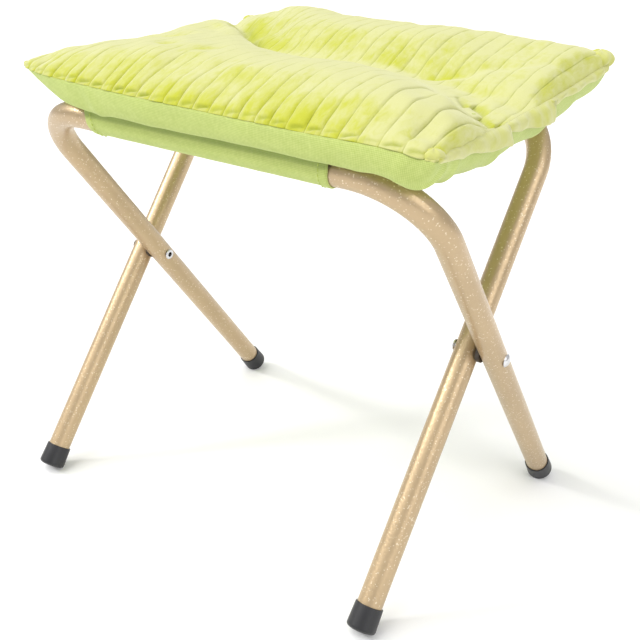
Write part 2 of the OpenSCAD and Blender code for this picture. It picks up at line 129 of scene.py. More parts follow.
# Folds of the underside cloth at the front and at the right: place along the edge, lean, depth and width
FRONT_FOLDS = ((-66, 0.4, 1.2, 5), (-20, 0.2, 0.5, 9), (60, -0.2, 0.6, 10), (133, 0.5, 0.5, 6), (166, -0.3, 1.0, 4))
RIGHT_FOLDS = ((-118, -0.5, 2.4, 3.2), (-102, 0.3, 1.8, 4), (-38, 0, 1.6, 6), (34, 0, 1.4, 7), (80, 0, 0.8, 9))
# Gathered corners of the plush: piece, middle, size and body
KNOBS = (("corner_knob_far_right", (169, 131, 353.8), (10, 8.5, 6.4), REAR),
         ("corner_knob_far_left", (-158, 136, 350), (7, 7, 5), REAR),
         ("corner_knob_near_right", (180, -127, 340), (6, 5, 3.6), FRONT),
         ("corner_knob_near_left", (-146.5, -118, 346), (4.2, 3.6, 2.6), FRONT))

# Half the width of the floor in millimetres; the camera in metres, and its yaw, pitch and roll in degrees
FLOOR_REACH = 6000
CAMERA_PLACE, CAMERA_ANGLES = (0.390883, -0.519088, 0.460135), (-35.3865, 25.7294, 1.0697)


def smooth(start, stop, x):
    """0 at start, 1 at stop, with a smooth step between them."""
    t = np.clip((x - start) / (stop - start), 0, 1)
    return t * t * (3 - 2 * t)


def bell(x, middle, width):
    """1 at the middle, falling smoothly to 0 on both sides."""
    return np.exp(-(((x - middle) / width) ** 2))


def spot(x, y, middle_x, middle_y, wide, deep):
    """1 at a point, falling smoothly to 0 all round."""
    return bell(x, middle_x, wide) * bell(y, middle_y, deep)


def curve(points, x):
    """A smooth line through (x, value, ...) points, read at x."""
    table = np.array(points, float)
    at, value = table[:, 0], table[:, 1:]
    slope = np.gradient(value, at, axis=0)
    i = np.clip(np.searchsorted(at, x) - 1, 0, len(at) - 2)
    step = (at[i + 1] - at[i])[..., None]
    t = np.clip((np.asarray(x) - at[i])[..., None] / step, 0, 1)
    a, b = value[i], value[i + 1]
    return (a * (1 + 2 * t) * (1 - t) ** 2 + b * t * t * (3 - 2 * t)
            + step * (slope[i] * t * (1 - t) ** 2 - slope[i + 1] * t * t * (1 - t)))


def seam_line(side, at):
    """Points of one seam line, at from -1 to 1, left to right or front to rear."""
    ends = {"front": (NEAR_LEFT, NEAR_RIGHT, FRONT_BOW), "rear": (FAR_LEFT, FAR_RIGHT, REAR_BOW),
            "left": (NEAR_LEFT, FAR_LEFT, LEFT_BOW), "right": (NEAR_RIGHT, FAR_RIGHT, RIGHT_BOW)}
    a, b, bow = ends[side]
    t = (np.asarray(at)[..., None] + 1) / 2
    return (1 - t) * np.array(a, float) + t * np.array(b, float) + curve(bow, np.asarray(at))


def outline(u, v):
    """Points on the sheet that the four seam lines span."""
    s, t = (u[..., None] + 1) / 2, (v[..., None] + 1) / 2
    corners = (1 - s) * ((1 - t) * NEAR_LEFT + t * FAR_LEFT) + s * ((1 - t) * NEAR_RIGHT + t * FAR_RIGHT)
    return ((1 - s) * seam_line("left", v) + s * seam_line("right", v)
            + (1 - t) * seam_line("front", u) + t * seam_line("rear", u) - corners)


def lengths_along(line):
    """Distance of each point of a line from its start."""
    return np.concatenate([[0], np.cumsum(np.linalg.norm(np.diff(line, axis=0), axis=1))])


def swell(u, v, pu, pv):
    """How far the bottom drops from its seams: 0 at the edge, 1 inside."""
    return np.sqrt(np.clip(1 - np.abs(u) ** pu, 0, 1) * np.clip(1 - np.abs(v) ** pv, 0, 1))


def edge_swell(u, v):
    """How far the top rises from its seams: 0 at the edge, 1 inside."""
    side = 1 - np.abs(u) ** np.where(u < 0, 5.0, 7.0 + 11 * smooth(-0.1, 0.5, v))
    front = np.clip(1 - np.abs(v) ** 5.5, 0, 1) ** 0.66
    rear = np.clip(1 - np.abs(v) ** (7 + 7 * np.abs(u - 0.15) ** 1.5), 0, 1) ** 0.5
    return np.sqrt(np.clip(side, 0, 1)) * np.where(v < 0, front, rear)


def trough(x, y):
    """Distance behind the bottom of the trough, and the depth of the trough."""
    middle, depth, ahead, behind = np.moveaxis(curve(TROUGH, x), -1, 0)
    lean = (curve(TROUGH, x + 1)[..., 0] - curve(TROUGH, x - 1)[..., 0]) / 2
    off = (y - middle) / np.sqrt(1 + lean * lean)
    return off, depth * bell(off, 0, np.where(off < 0, ahead, behind))


def dimples(x, y, width=1.0, share=None):
    """Depth of the small dimples at x, y, or with share how much of that depth makes a full dimple."""
    total = np.zeros_like(x)
    for cx, cy, depth, along, across, turn in DIMPLES:
        c, s = math.cos(math.radians(turn)), math.sin(math.radians(turn))
        p, q = (x - cx) * c + (y - cy) * s, -(x - cx) * s + (y - cy) * c
        total += (depth if share is None else min(1, depth / share)) * bell(p, 0, along) * bell(q, 0, across * width)
    return total


def top_level(x, y):
    """Height of the plush away from its edges, trough and dimples."""
    right = smooth(60, 130, x)
    z = TOP_Z + (5 - 8 * right) * smooth(-30, 60, y) + 5 * right * smooth(70, 115, y) - 1.5 * smooth(-70, -120, x)
    z += 4 * bell(x, -90, 45) * smooth(40, 90, y) + 1.5 * bell(x, -25, 45) * smooth(-40, -90, y)
    return z + 0.6 * np.sin(x / 23 + 1.3) * np.sin(y / 31 + 0.4) + 0.4 * np.sin(x / 14 - y / 19)


def under_level(x, y):
    """Height of the underside cloth away from its edges: it sags between the bars and swells beyond them."""
    z = UNDER_Z - np.where(np.abs(y) < BAR_Y, SAG * np.cos(np.pi * y / (2 * BAR_Y)) ** 2, 0)
    over = np.clip((np.abs(y) - BAR_Y - 10) / 13, 0, 1)
    z = z - OVERHANG_SWELL * np.sin(np.pi * over)
    right = curve(RIGHT_UNDER, y)[..., 0]
    z = z + (right - z) * smooth(112 + 32 * smooth(-92, -108, y), 172, x)
    # Room for the bend of the front tube when the stool folds
    z = z + 1.3 * spot(x, y, 128, -117, 22, 9)
    return z + curve(LEFT_TAPER, x)[..., 0] * smooth(95, 124, np.abs(y)) - 3 * smooth(-110, -155, x) * (1 - over)


def cushion_surfaces(cols, rows):
    """Top and bottom of the unfilled cushion as two grids that share their edge."""
    a, b = np.meshgrid(np.linspace(-1, 1, cols), np.linspace(-1, 1, rows))
    u, v = np.sin(a * np.pi / 2), np.sin(b * np.pi / 2)
    top = outline(u, v)
    bottom = top.copy()
    x, y, z = top[..., 0], top[..., 1], bottom[..., 2].copy()
    top[..., 2] += (top_level(x, y) - trough(x, y)[1] - dimples(x, y) - z) * edge_swell(u, v)
    bottom[..., 2] -= (z - under_level(x, y)) * swell(u, v, 20, 40)
    return top, bottom


def grid_faces(index, flip=False):
    """Quads between the rows and columns of an array of vertex indices."""
    quads = np.stack([index[:-1, :-1], index[:-1, 1:], index[1:, 1:], index[1:, :-1]], -1).reshape(-1, 4)
    return quads[:, ::-1] if flip else quads


def pillow(top, bottom):
    """Points and quads of two grids sewn together along their shared edge."""
    rows, cols = top.shape[:2]
    upper = np.arange(rows * cols).reshape(rows, cols)
    lower = upper.copy()
    lower[1:-1, 1:-1] = rows * cols + np.arange((rows - 2) * (cols - 2)).reshape(rows - 2, cols - 2)
    points = np.concatenate([top.reshape(-1, 3), bottom[1:-1, 1:-1].reshape(-1, 3)])
    return points, np.concatenate([grid_faces(upper), grid_faces(lower, True)]), lower


def add_mesh(name, points, faces, material, uv=None, uv_name="wales", fields=None, mend=False):
    """A smooth mesh object from points in millimetres, with the material of that name."""
    mesh = bpy.data.meshes.new(name)
    mesh.from_pydata((np.asarray(points, float) * MM).tolist(), [], [tuple(int(i) for i in f) for f in faces])
    if mend:
        shape = bmesh.new()
        shape.from_mesh(mesh)
        bmesh.ops.recalc_face_normals(shape, faces=shape.faces)
        shape.to_mesh(mesh)
        shape.free()
    mesh.polygons.foreach_set("use_smooth", [True] * len(mesh.polygons))
    if uv is not None:
        corner = np.zeros(len(mesh.loops), np.int32)
        mesh.loops.foreach_get("vertex_index", corner)
        mesh.uv_layers.new(name=uv_name).data.foreach_set("uv", np.asarray(uv, np.float32)[corner].ravel())
    for key, values in (fields or {}).items():
        mesh.attributes.new(key, "FLOAT", "POINT").data.foreach_set("value", np.asarray(values, np.float32).ravel())
    mesh.materials.append(bpy.data.materials[material])
    made = bpy.data.objects.new(name, mesh)
    bpy.context.scene.collection.objects.link(made)
    return made


def resample(grid, rows_at, cols_at):
    """Smooth values of a grid at fractional rows and columns."""
    def along(values, at):
        last = len(values) - 1
        i = np.clip(np.floor(at).astype(int), 0, last - 1)
        t = (at - i)[:, None, None]
        p = [values[np.clip(i + k, 0, last)] for k in (-1, 0, 1, 2)]
        p[0] = np.where((i == 0)[:, None, None], 2 * p[1] - p[2], p[0])
        p[3] = np.where((i == last - 1)[:, None, None], 2 * p[2] - p[1], p[3])
        return 0.5 * (2 * p[1] + (p[2] - p[0]) * t + (2 * p[0] - 5 * p[1] + 4 * p[2] - p[3]) * t**2
                      + (3 * p[1] - p[0] - 3 * p[2] + p[3]) * t**3)
    half = along(grid, np.asarray(rows_at, float))
    return along(half.transpose(1, 0, 2), np.asarray(cols_at, float)).transpose(1, 0, 2)


def normals_of(grid):
    """Unit normals of a grid of points, upwards for a flat grid."""
    n = np.cross(np.gradient(grid, axis=1), np.gradient(grid, axis=0))
    return n / np.maximum(np.linalg.norm(n, axis=-1, keepdims=True), 1e-9)


def blurred(grid, times):
    """A grid of values with each one drawn towards its neighbours, the edge held."""
    g = grid.copy()
    for _ in range(times):
        g[1:-1, 1:-1] = (4 * g[1:-1, 1:-1] + g[:-2, 1:-1] + g[2:, 1:-1] + g[1:-1, :-2] + g[1:-1, 2:]) / 8
    return g


def waves(x, y, seed, scale, count=6):
    """Soft seeded noise from a few crossing waves, about -1 to 1."""
    rng = np.random.default_rng(seed)
    total = np.zeros(np.broadcast(x, y).shape)
    for _ in range(count):
        turn, size, shift = rng.uniform(0, 2 * np.pi), rng.uniform(0.6, 1.6), rng.uniform(0, 6.3)
        total += np.sin((x * math.cos(turn) + y * math.sin(turn)) / (scale * size) + shift)
    return total / math.sqrt(count)


def held_points(points, lower, rows, cols):
    """Points that the air leaves in place: the seams, the strips over the bars and the tufts."""
    upper = np.arange(rows * cols).reshape(rows, cols)
    x, y = points[:, 0], points[:, 1]
    hold = np.zeros(len(points), bool)
    for edge in (upper[0], upper[-1], upper[:, 0], upper[:, -1]):
        hold[edge] = True
    below = lower[1:-1, 1:-1].ravel()
    hold[below] = (np.abs(np.abs(y[below]) - BAR_Y) < 11) & (np.abs(x[below] - 5) < 112)
    for tack_x, tack_y in TACKS[FRONT] + TACKS[REAR]:
        hold[: rows * cols] |= np.hypot(x - tack_x, y - tack_y)[: rows * cols] < 7
    return np.nonzero(hold)[0].tolist()


def fill_with_air(top, bottom, settings):
    """The two grids after a short cloth simulation under air pressure, with each point's move limited."""
    points, faces, lower = pillow(top, bottom)
    rows, cols = top.shape[:2]
    obj = add_mesh("cushion_simulation", points, faces, "Plush")
    obj.vertex_groups.new(name="held").add(held_points(points, lower, rows, cols), 1.0, "REPLACE")
    cloth = obj.modifiers.new("Cloth", "CLOTH")
    for key, value in (("quality", 6), ("mass", 0.3), ("tension_stiffness", 12), ("compression_stiffness", 12),
                       ("shear_stiffness", 6), ("bending_stiffness", 0.4), ("use_pressure", True),
                       ("uniform_pressure_force", settings.pressure), ("shrink_min", -settings.slack),
                       ("vertex_group_mass", "held")):
        setattr(cloth.settings, key, value)
    cloth.settings.effector_weights.gravity = 0
    cloth.point_cache.frame_start, cloth.point_cache.frame_end = 1, settings.frames
    scene = bpy.context.scene
    for frame in range(1, settings.frames + 1):
        scene.frame_set(frame)
    shown = obj.evaluated_get(bpy.context.evaluated_depsgraph_get())
    moved = np.zeros(len(points) * 3, np.float32)
    shown.data.vertices.foreach_get("co", moved)
    scene.frame_set(1)
    bpy.data.objects.remove(obj)
    shift = moved.reshape(-1, 3).astype(float) / MM - points
    far = np.linalg.norm(shift, axis=1, keepdims=True)
    limit = settings.move_limit / MM
    shift *= limit * np.tanh(far / limit) / np.maximum(far, 1e-9)
    up = blurred(shift[: rows * cols].reshape(rows, cols, 3), 2)
    down = np.zeros_like(up)
    down[1:-1, 1:-1] = shift[rows * cols:].reshape(rows - 2, cols - 2, 3)
    return top + up, bottom + 0.35 * blurred(down, 3)


class CushionForm:
    """The cushion's base grids and where its wales run, shared by the pieces made on it."""

    def __init__(self, settings):
        self.cols, self.rows = FORM_COLS, FORM_ROWS
        self.top, self.bottom = cushion_surfaces(self.cols, self.rows)
        self.top, self.bottom = fill_with_air(self.top, self.bottom, settings)

    def wale_columns(self, wales, seed):
        """Fractional columns of the plush mesh and their place counted in wales."""
        arc = lengths_along(self.top[self.rows // 2])
        rng = np.random.default_rng(seed)
        groove = np.linspace(0, 1, wales + 1)
        groove[1:-1] += rng.uniform(-0.07, 0.07, wales - 1) / wales
        # The last wales at the right are narrower
        groove[-4:-1] += np.array([0.15, 0.3, 0.4]) / wales
        inside = np.array([0, 0.05, 0.16, 0.32, 0.5, 0.68, 0.84, 0.95])
        place = np.append((np.arange(wales)[:, None] + inside).ravel(), wales)
        share = np.interp(place, np.arange(wales + 1), groove)
        return np.interp(share * arc[-1], arc, np.arange(self.cols)), place

    def edge_rows(self):
        """Fractional rows of the plush mesh, close together near the front and rear seams."""
        arc = lengths_along(self.top[:, self.cols // 2])
        near = np.array([0, 0.6, 1.2, 1.8, 2.4, 3.1, 3.8, 4.6, 5.5, 6.6, 8, 9.6, 11.4, 13.4, 15.5])
        inner = np.linspace(17.6, arc[-1] - 17.6, 118)
        at = np.concatenate([near, inner, (arc[-1] - near)[::-1]])
        return np.interp(at, arc, np.arange(self.rows)), at, arc[-1]


# What later steps need of the pieces already built
FORM = {}


def cushion_form():
    """The one form of the cushion, made at its first use."""
    if "form" not in FORM:
        FORM["form"] = CushionForm(bpy.context.scene.stool_cushion)
    return FORM["form"]


def plush_surface(settings):
    """Ribbed top of the cushion: points, UV, fields for the material, and its rows and columns on the base grid."""
    form = cushion_form()
    cols_at, place = form.wale_columns(settings.wales, settings.seed)
    rows_at, arc_at, length = form.edge_rows()
    base = resample(form.top, rows_at, cols_at)
    normal = normals_of(base)
    x, y = base[..., 0], base[..., 1]
    off = trough(x, y)[0]
    to_edge = np.minimum(arc_at, length - arc_at)[:, None]
    t = place % 1.0
    t[-1] = 0
    number = np.minimum(np.floor(place), settings.wales - 1).astype(int)
    rng = np.random.default_rng(settings.seed + 1)

    def each_wale(low, high):
        return rng.uniform(low, high, settings.wales)[number]

    # The skin is stretched smooth over the front bulge, round the crater and at the near-right ball
    stretched = smooth(-15, 30, x) * smooth(160, 120, x) * bell(off, -17, 22)
    crest = smooth(125, 80, x) * smooth(-98, -84, y) * smooth(6, -6, off)
    crater = smooth(-125, -95, x) * smooth(-35, -60, x)
    corner = spot(x, y, 160, -88, 24, 34)
    ball = spot(x, arc_at[:, None], 158, 8, 11, 7.5)
    ribbed = 1 - 0.85 * ball - 0.85 * stretched - 0.75 * crest - 0.6 * crater * bell(off, 0, 26)
    ribbed = np.clip(ribbed, 0.06, 1)

    # Ribs, round near the seams and flatter inside, with a little roughness
    flat = smooth(9, 34, to_edge)
    side = np.abs(2 * t - 1)
    rib = ((1 - side**3.6) ** 0.7 * (1 - flat) + (1 - side**6) ** 0.5 * flat) * each_wale(0.8, 1.15)
    uneven = (1 + 0.3 * waves(number[None] * 37.0, y, 5, 9) * smooth(10, 30, to_edge)) * (1 + 0.6 * corner)
    rise = settings.wale_height / MM * rib * ribbed * uneven * (1 - 0.6 * flat * (1 - corner))
    rise = rise * np.sqrt(np.clip(to_edge / 2.6, 0, 1)) * (1 + 0.35 * bell(to_edge, 7, 6)) + 2.0 * ball
    rough = 0.3 + 0.9 * crater * bell(off, 8, 26) + 0.7 * corner
    rise = rise + rough * waves(x, y, 11, 4.5) * smooth(3, 12, to_edge)

    # Slanting creases across the lobes at the seams, and sharp folds at the ends of the trough
    pinch = each_wale(0.25, 1.0) * smooth(0.08, 0.3, t) * smooth(0.99, 0.8, t)
    crease = pinch * bell(to_edge, 2.4 + 2.0 * t + each_wale(-0.5, 0.5), 0.85)
    near_right = smooth(126, 142, x) * smooth(184, 172, x)
    step = off + 3.5 * np.where(number % 2 == 0, 1, -1) * near_right
    fold = (near_right + 0.7 * smooth(-118, -100, x) * smooth(-30, -50, x)) * bell(step, 0, 3)
    points = base + normal * (rise - 1.9 * crease - 2.4 * fold)[..., None]
    hang = bell(to_edge, 1.6, 1.3) * rib * 1.3
    points[..., 2] -= hang
    points[..., 1] += np.sign(y) * 0.6 * hang
    for edge in (np.s_[0], np.s_[-1], np.s_[:, 0], np.s_[:, -1]):
        points[edge] = base[edge]

    # Deeper tone where the pile is crushed in the dimples; painted shade in the crater, along the near-right folds and
    # on sides that face right; paler (below 0) where the pile is brushed up or stretched, and near the near-right
    # corner
    crush_and_shade = dimples(x, y, 0.6, 2.4) + 0.3 * crater * bell(off, 12, 16) - 0.5 * stretched
    # Painted shadow where the ridges end at the near-right fold
    crush_and_shade = crush_and_shade + 0.9 * near_right * bell(step, 3, 4)
    crush_and_shade = crush_and_shade + smooth(-125, -95, x) * smooth(-5, -40, x) * bell(off, 8, 8)
    # Painted shade: sides that face right are deeper
    crush_and_shade = crush_and_shade + 0.6 * smooth(0.2, 0.65, normal[..., 0])
    crush_and_shade = crush_and_shade - 0.45 * spot(x, y, 150, -82, 32, 30) * (1 - near_right * smooth(-8, 0, off))
    # Painted shade: darker in the slanting creases, at the bottom of the crater, along the folds and right at the seam
    dark = crease + 0.3 * crater * bell(off, 4, 4) + 0.35 * fold + 0.7 * bell(to_edge, 0, 1.1)
    # Painted sheen: sides that face the front get the deeper tone of pile seen from its tip
    fields = {"crush_and_shade": np.clip(crush_and_shade, -1, 1), "crease": np.clip(dark, 0, 1),
              "ribbed": np.clip(ribbed + 0.45 * crest + 0.3 * crater, 0, 1),
              "steep": np.clip(-1.25 * normal[..., 1], 0, 1) * smooth(160, 135, x)}
    uv = np.stack(np.broadcast_arrays(place[None], arc_at[:, None] / 10), -1)
    return points, uv, fields, (rows_at, cols_at)


def build_cushion(settings):
    """The stuffed cushion: ribbed plush above, and a plain lining that the underside cloth covers."""
    points, uv, fields, at = plush_surface(settings)
    FORM["plush"] = points.reshape(-1, 3)
    low = resample(cushion_form().bottom, *at)
    body, faces, _ = pillow(points, low + normals_of(low) * LINING_GAP)

    def both(field):
        """Values of the top, then the same for the bottom, which shares its edge."""
        kind = field.shape[2:]
        return np.concatenate([field.reshape(-1, *kind), field[1:-1, 1:-1].reshape(-1, *kind)])

    fields = {key: both(value) for key, value in fields.items()}
    return add_mesh("cushion_plush", body, faces, "Plush", both(uv), fields=fields)


def cloth_folds(x, y, drop):
    """Soft folds of the underside cloth: how far it stands out from its smooth form."""
    out = 0.5 * waves(x, y, 21, 17)
    for folds, along, where in ((FRONT_FOLDS, x, smooth(-118, -132, y)), (RIGHT_FOLDS, y, smooth(150, 172, x))):
        for at, lean, deep, wide in folds:
            out = out + where * deep * bell(along, at + lean * drop, wide)
    return out


def build_underside(settings):
    """The woven cloth that covers the underside and turns up to the edge seam."""
    form = cushion_form()
    rows, cols = CLOTH_ROWS, CLOTH_COLS
    base = resample(form.bottom, np.linspace(0, form.rows - 1, rows), np.linspace(0, form.cols - 1, cols))
    out = -normals_of(base)
    x, y, z = np.moveaxis(base, -1, 0)
    a, b = np.abs(np.linspace(-1, 1, cols))[None], np.abs(np.linspace(-1, 1, rows))[:, None]
    edge = smooth(1.0, 0.93, a) * smooth(1.0, 0.95, b)
    thick = settings.cloth_thickness / MM
    outer = base + out * (cloth_folds(x, y, 335 - z) * edge + thick * 0.6)[..., None]
    down, across = np.zeros_like(x), np.zeros_like(x)
    down[1:] = np.cumsum(np.linalg.norm(np.diff(base, axis=0), axis=-1), axis=0)
    across[:, 1:] = np.cumsum(np.linalg.norm(np.diff(base, axis=1), axis=-1), axis=1)
    uv = np.stack([across, down], -1).reshape(-1, 2) / 10
    lower = np.arange(rows * cols).reshape(rows, cols)
    upper = lower + rows * cols
    ring = np.concatenate([lower[0, :-1], lower[:-1, -1], lower[-1, :0:-1], lower[:0:-1, 0]])
    strip = np.stack([ring, np.roll(ring, -1), np.roll(ring, -1) + rows * cols, ring + rows * cols], -1)
    faces = np.concatenate([grid_faces(lower, True), grid_faces(upper), strip])
    points = np.concatenate([outer.reshape(-1, 3), (outer - out * thick).reshape(-1, 3)])
    return add_mesh("underside_cloth", points, faces, "Cloth", np.tile(uv, (2, 1)), "weave", mend=True)


def sweep(rings):
    """Points and faces of a closed body through rings of points, with flat ends."""
    rings = np.asarray(rings, float)
    count, around = rings.shape[:2]
    index = np.arange(count * around).reshape(count, around)
    index = np.concatenate([index, index[:, :1]], axis=1)
    faces = [tuple(f) for f in grid_faces(index)]
    for end in (index[0, :-1], index[-1, :-1]):
        half = around // 2
        faces += [(end[i], end[i + 1], end[around - 2 - i], end[around - 1 - i]) for i in range(half - 1)]
    return rings.reshape(-1, 3), faces


def plain_pile(count, crush_and_shade):
    """Fields of the plush material for a piece without wales."""
    return {"crush_and_shade": np.zeros(count) + crush_and_shade} | {key: np.zeros(count) for key in ("crease", "ribbed", "steep")}


def flap_ring(point, drop, share, out, start):
    """Cross-section of a scallop at one point of the seam: thin cloth that leans out and waves a little."""
    x, y, z = point
    wave = 0.7 * math.sin(y / 5.5 + start) + 0.3 * math.sin(y / 2.9) + 0.8 * share
    drop = max(drop + 0.55 * math.sin(y / 6.1 + 2 * start) + 0.25 * math.sin(y / 3.3), 0.3) + 2.2
    lean = math.radians(20 + 5 * math.sin(y / 9))
    down = np.array([out * math.sin(lean), 0, -math.cos(lean)])
    aside = np.array([out * math.cos(lean), 0, math.sin(lean)])
    top = np.array([x + out * (0.5 * share - 1.0), y, z + 2.2])
    belly = 1.5 + 0.8 * math.sin(y / 2.6)
    return [top + down * drop * c
            + aside * ((1.3 + 0.5 * c) * h + wave * c + belly * math.sin(math.pi * min(1, 1.2 * c)))
            for c, h in FLAP_SECTION]


def build_flange(name, side):
    """Narrow sewn edge of the plush along one side: three scallops that hang beside the cloth."""
    out, grown = (1, 1) if side == "right" else (-1, 0.5)
    points, faces, uv = [], [], []
    places, q = np.linspace(-1, 1, 200), np.linspace(0, 1, 60)
    for start, stop, first, last, growth in FLAPS:
        at = np.interp(start + (stop - start) * q, seam_line(side, places)[:, 1], places)
        line = seam_line(side, np.clip(at, -0.985, 0.985))
        hang = (first + (last - first) * grown * q**growth) * np.clip(np.minimum(q, 1 - q) / 0.012 + 0.2, 0, 1)
        body, quads = sweep([flap_ring(*given, out, start) for given in zip(line, hang, q)])
        faces += [tuple(i + len(points) for i in quad) for quad in quads]
        points += body.tolist()
        round_it, count = np.linspace(0.2, 0.8, len(FLAP_SECTION)), len(FLAP_SECTION)
        uv += np.stack([np.tile(round_it, len(line)), np.repeat(line[:, 1] / 10, count)], -1).tolist()
    return add_mesh(name, points, faces, "Plush", np.array(uv), mend=True, fields=plain_pile(len(points), 0.3))


def build_knob(name, centre, size, turn):
    """A gathered corner of the plush: a small lobed ball."""
    rows, around = 20, 34
    la, lo = np.meshgrid(np.linspace(0, np.pi, rows + 2)[1:-1], np.linspace(0, 2 * np.pi, around, endpoint=False),
                         indexing="ij")
    bulge = 1 + 0.10 * np.cos(3 * lo + turn) * np.sin(la) + 0.06 * np.cos(5 * lo + 2 * la)
    ball = np.stack([np.sin(la) * np.cos(lo), np.sin(la) * np.sin(lo), np.cos(la)], -1) * bulge[..., None]
    points = np.concatenate([ball.reshape(-1, 3), [[0, 0, 1.0]], [[0, 0, -1.0]]]) * np.array(size) + np.array(centre)
    index = np.arange(rows * around).reshape(rows, around)
    index = np.concatenate([index, index[:, :1]], axis=1)
    top, low = rows * around, rows * around + 1
    faces = [tuple(f) for f in grid_faces(index)]
    faces += [(top, index[0, i], index[0, i + 1]) for i in range(around)]
    faces += [(low, index[-1, i + 1], index[-1, i]) for i in range(around)]
    uv = np.stack([np.full(len(points), 0.5), points[:, 1] / 10], -1)
    crush_and_shade = 0.25 + np.clip(0.8 - np.abs((points[:, 0] - centre[0] + 4) / 6), 0, 1)
    return add_mesh(name, points, faces, "Plush", uv, mend=True, fields=plain_pile(len(points), crush_and_shade))


def tunnel_loop(radius, out):
    """(y, z) of the tunnel cloth round a bar: down from the seat, round under the bar and up again."""
    loop = []
    for f in np.linspace(0, 1, TUNNEL_POINTS):
        if f < 0.2:
            loop.append((out * radius, (0.2 - f) / 0.2 * OUTER_RISE))
        elif f > 0.8:
            loop.append((-out * radius, (f - 0.8) / 0.2 * INNER_RISE))
        else:
            angle = (f - 0.2) / 0.6 * math.pi
            loop.append((out * radius * math.cos(angle), -radius * math.sin(angle)))
    return loop


def build_tunnel(name, out, left, right, settings):
    """Cloth tunnel round one top bar, with its ends turned under; out is the side that faces outwards."""
    bar_y, long = BAR_Y * out, right - left
    stations = np.concatenate([np.linspace(0, HEM, 9), np.linspace(HEM + 1, long - HEM - 1, 66),
                               np.linspace(long - HEM, long, 9)])
    rings = []
    for s in stations:
        to_end = min(s, long - s)
        wall = settings.cloth_thickness / MM * 0.6 * (1 + 0.9 * float(1 - smooth(HEM - 0.3, HEM + 0.5, to_end)))
        if to_end < 0.01:
            wall *= 0.55
        ring = []
        for y, z in tunnel_loop(TUNNEL_R + wall, out) + tunnel_loop(TUNNEL_R, out)[::-1]:
            low = (OUTER_RISE - z) / 19
            pull = 5.0 * low * low * float(smooth(26, 0, s)) - low * float(smooth(long - 20, long, s))
            push = 0.22 * math.sin(s / 6.1 + 3 * low) * math.sin(2.2 * low) if z < 8 else 0
            ring.append((left + s + pull, bar_y + y * (1 + push / 10), BAR_Z + z - abs(push) * 0.4))
        rings.append(ring)
    FORM[name] = np.array(rings)
    points, faces = sweep(rings)
    arc = np.linspace(0, 48, TUNNEL_POINTS)
    arc = np.tile(np.concatenate([arc, arc[::-1]]), len(stations))
    uv = np.stack([np.repeat(left + stations, 2 * TUNNEL_POINTS), arc], -1) / 10
    shade = smooth(2.4, 4.0, points[:, 2] - BAR_Z) * (out * (points[:, 1] - bar_y) > 0)
    return add_mesh(name, points, faces, "Cloth", uv, "weave", fields={"shade": shade}, mend=True)


# ---------- Geometry Nodes ----------


def link_inputs(tree, node, inputs):
    """Link each input that is given a socket, and set each other one to its value."""
    for key, value in inputs.items():
        if isinstance(value, bpy.types.NodeSocket):
            tree.links.new(value, node.inputs[key])
        else:
            node.inputs[key].default_value = value
    return node


def add_node(tree, kind, inputs=None, **settings):
    """A new node with its settings; an input that is a socket is linked, any other is a value."""
    node = tree.nodes.new(kind)
    for key, value in settings.items():
        setattr(node, key, value)
    return link_inputs(tree, node, inputs or {})


def stitch_nodes():
    """Node group that lays thread stitches along the edges of a mesh."""
    tree = bpy.data.node_groups.new("Stitch Line", "GeometryNodeTree")
    face = tree.interface
    face.new_socket("Line", in_out="INPUT", socket_type="NodeSocketGeometry")
    for name, value, low, high in (("Pitch", 0.003, 0.001, 0.02), ("Stitch Length", 0.0022, 0.0005, 0.02),
                                   ("Thread Radius", 0.00035, 0.0001, 0.002), ("Unevenness", 0.12, 0, 1)):
        socket = face.new_socket(name, in_out="INPUT", socket_type="NodeSocketFloat")
        socket.default_value, socket.min_value, socket.max_value = value, low, high
    face.new_socket("Seed", in_out="INPUT", socket_type="NodeSocketInt")
    face.new_socket("Thread", in_out="INPUT", socket_type="NodeSocketMaterial")
    face.new_socket("Stitches", in_out="OUTPUT", socket_type="NodeSocketGeometry")

    def step(kind, inputs, out, **settings):
        return add_node(tree, kind, inputs, **settings).outputs[out]

    given = add_node(tree, "NodeGroupInput").outputs
    line = step("GeometryNodeMeshToCurve", {"Mesh": given["Line"]}, "Curve")
    even = step("GeometryNodeResampleCurve", {"Curve": line, "Length": given["Pitch"]}, "Curve", mode="LENGTH")
    dots = add_node(tree, "GeometryNodeCurveToPoints", {"Curve": even}, mode="EVALUATED").outputs
    ball = step("GeometryNodeMeshUVSphere", {"Segments": 10, "Rings": 8, "Radius": 1.0}, "Mesh")
    low = calc(tree, "SUBTRACT", 1.0, given["Unevenness"])
    vary = step("FunctionNodeRandomValue", {2: low, 3: 1.0, "Seed": given["Seed"]}, 1, data_type="FLOAT")
    long = calc(tree, "MULTIPLY", calc(tree, "MULTIPLY", given["Stitch Length"], 0.5), vary)
    size = step("ShaderNodeCombineXYZ", {"X": given["Thread Radius"], "Y": given["Thread Radius"], "Z": long}, 0)
    turn = step("FunctionNodeAlignRotationToVector", {"Vector": dots["Tangent"]}, "Rotation", axis="Z")
    laid = step("GeometryNodeInstanceOnPoints", {"Points": dots["Points"], "Instance": ball, "Rotation": turn,
                                                 "Scale": size}, "Instances")
    real = step("GeometryNodeRealizeInstances", {"Geometry": laid}, "Geometry")
    soft = step("GeometryNodeSetShadeSmooth", {"Geometry": real}, "Geometry")
    done = step("GeometryNodeSetMaterial", {"Geometry": soft, "Material": given["Thread"]}, "Geometry")
    add_node(tree, "NodeGroupOutput", {"Stitches": done})
    return tree


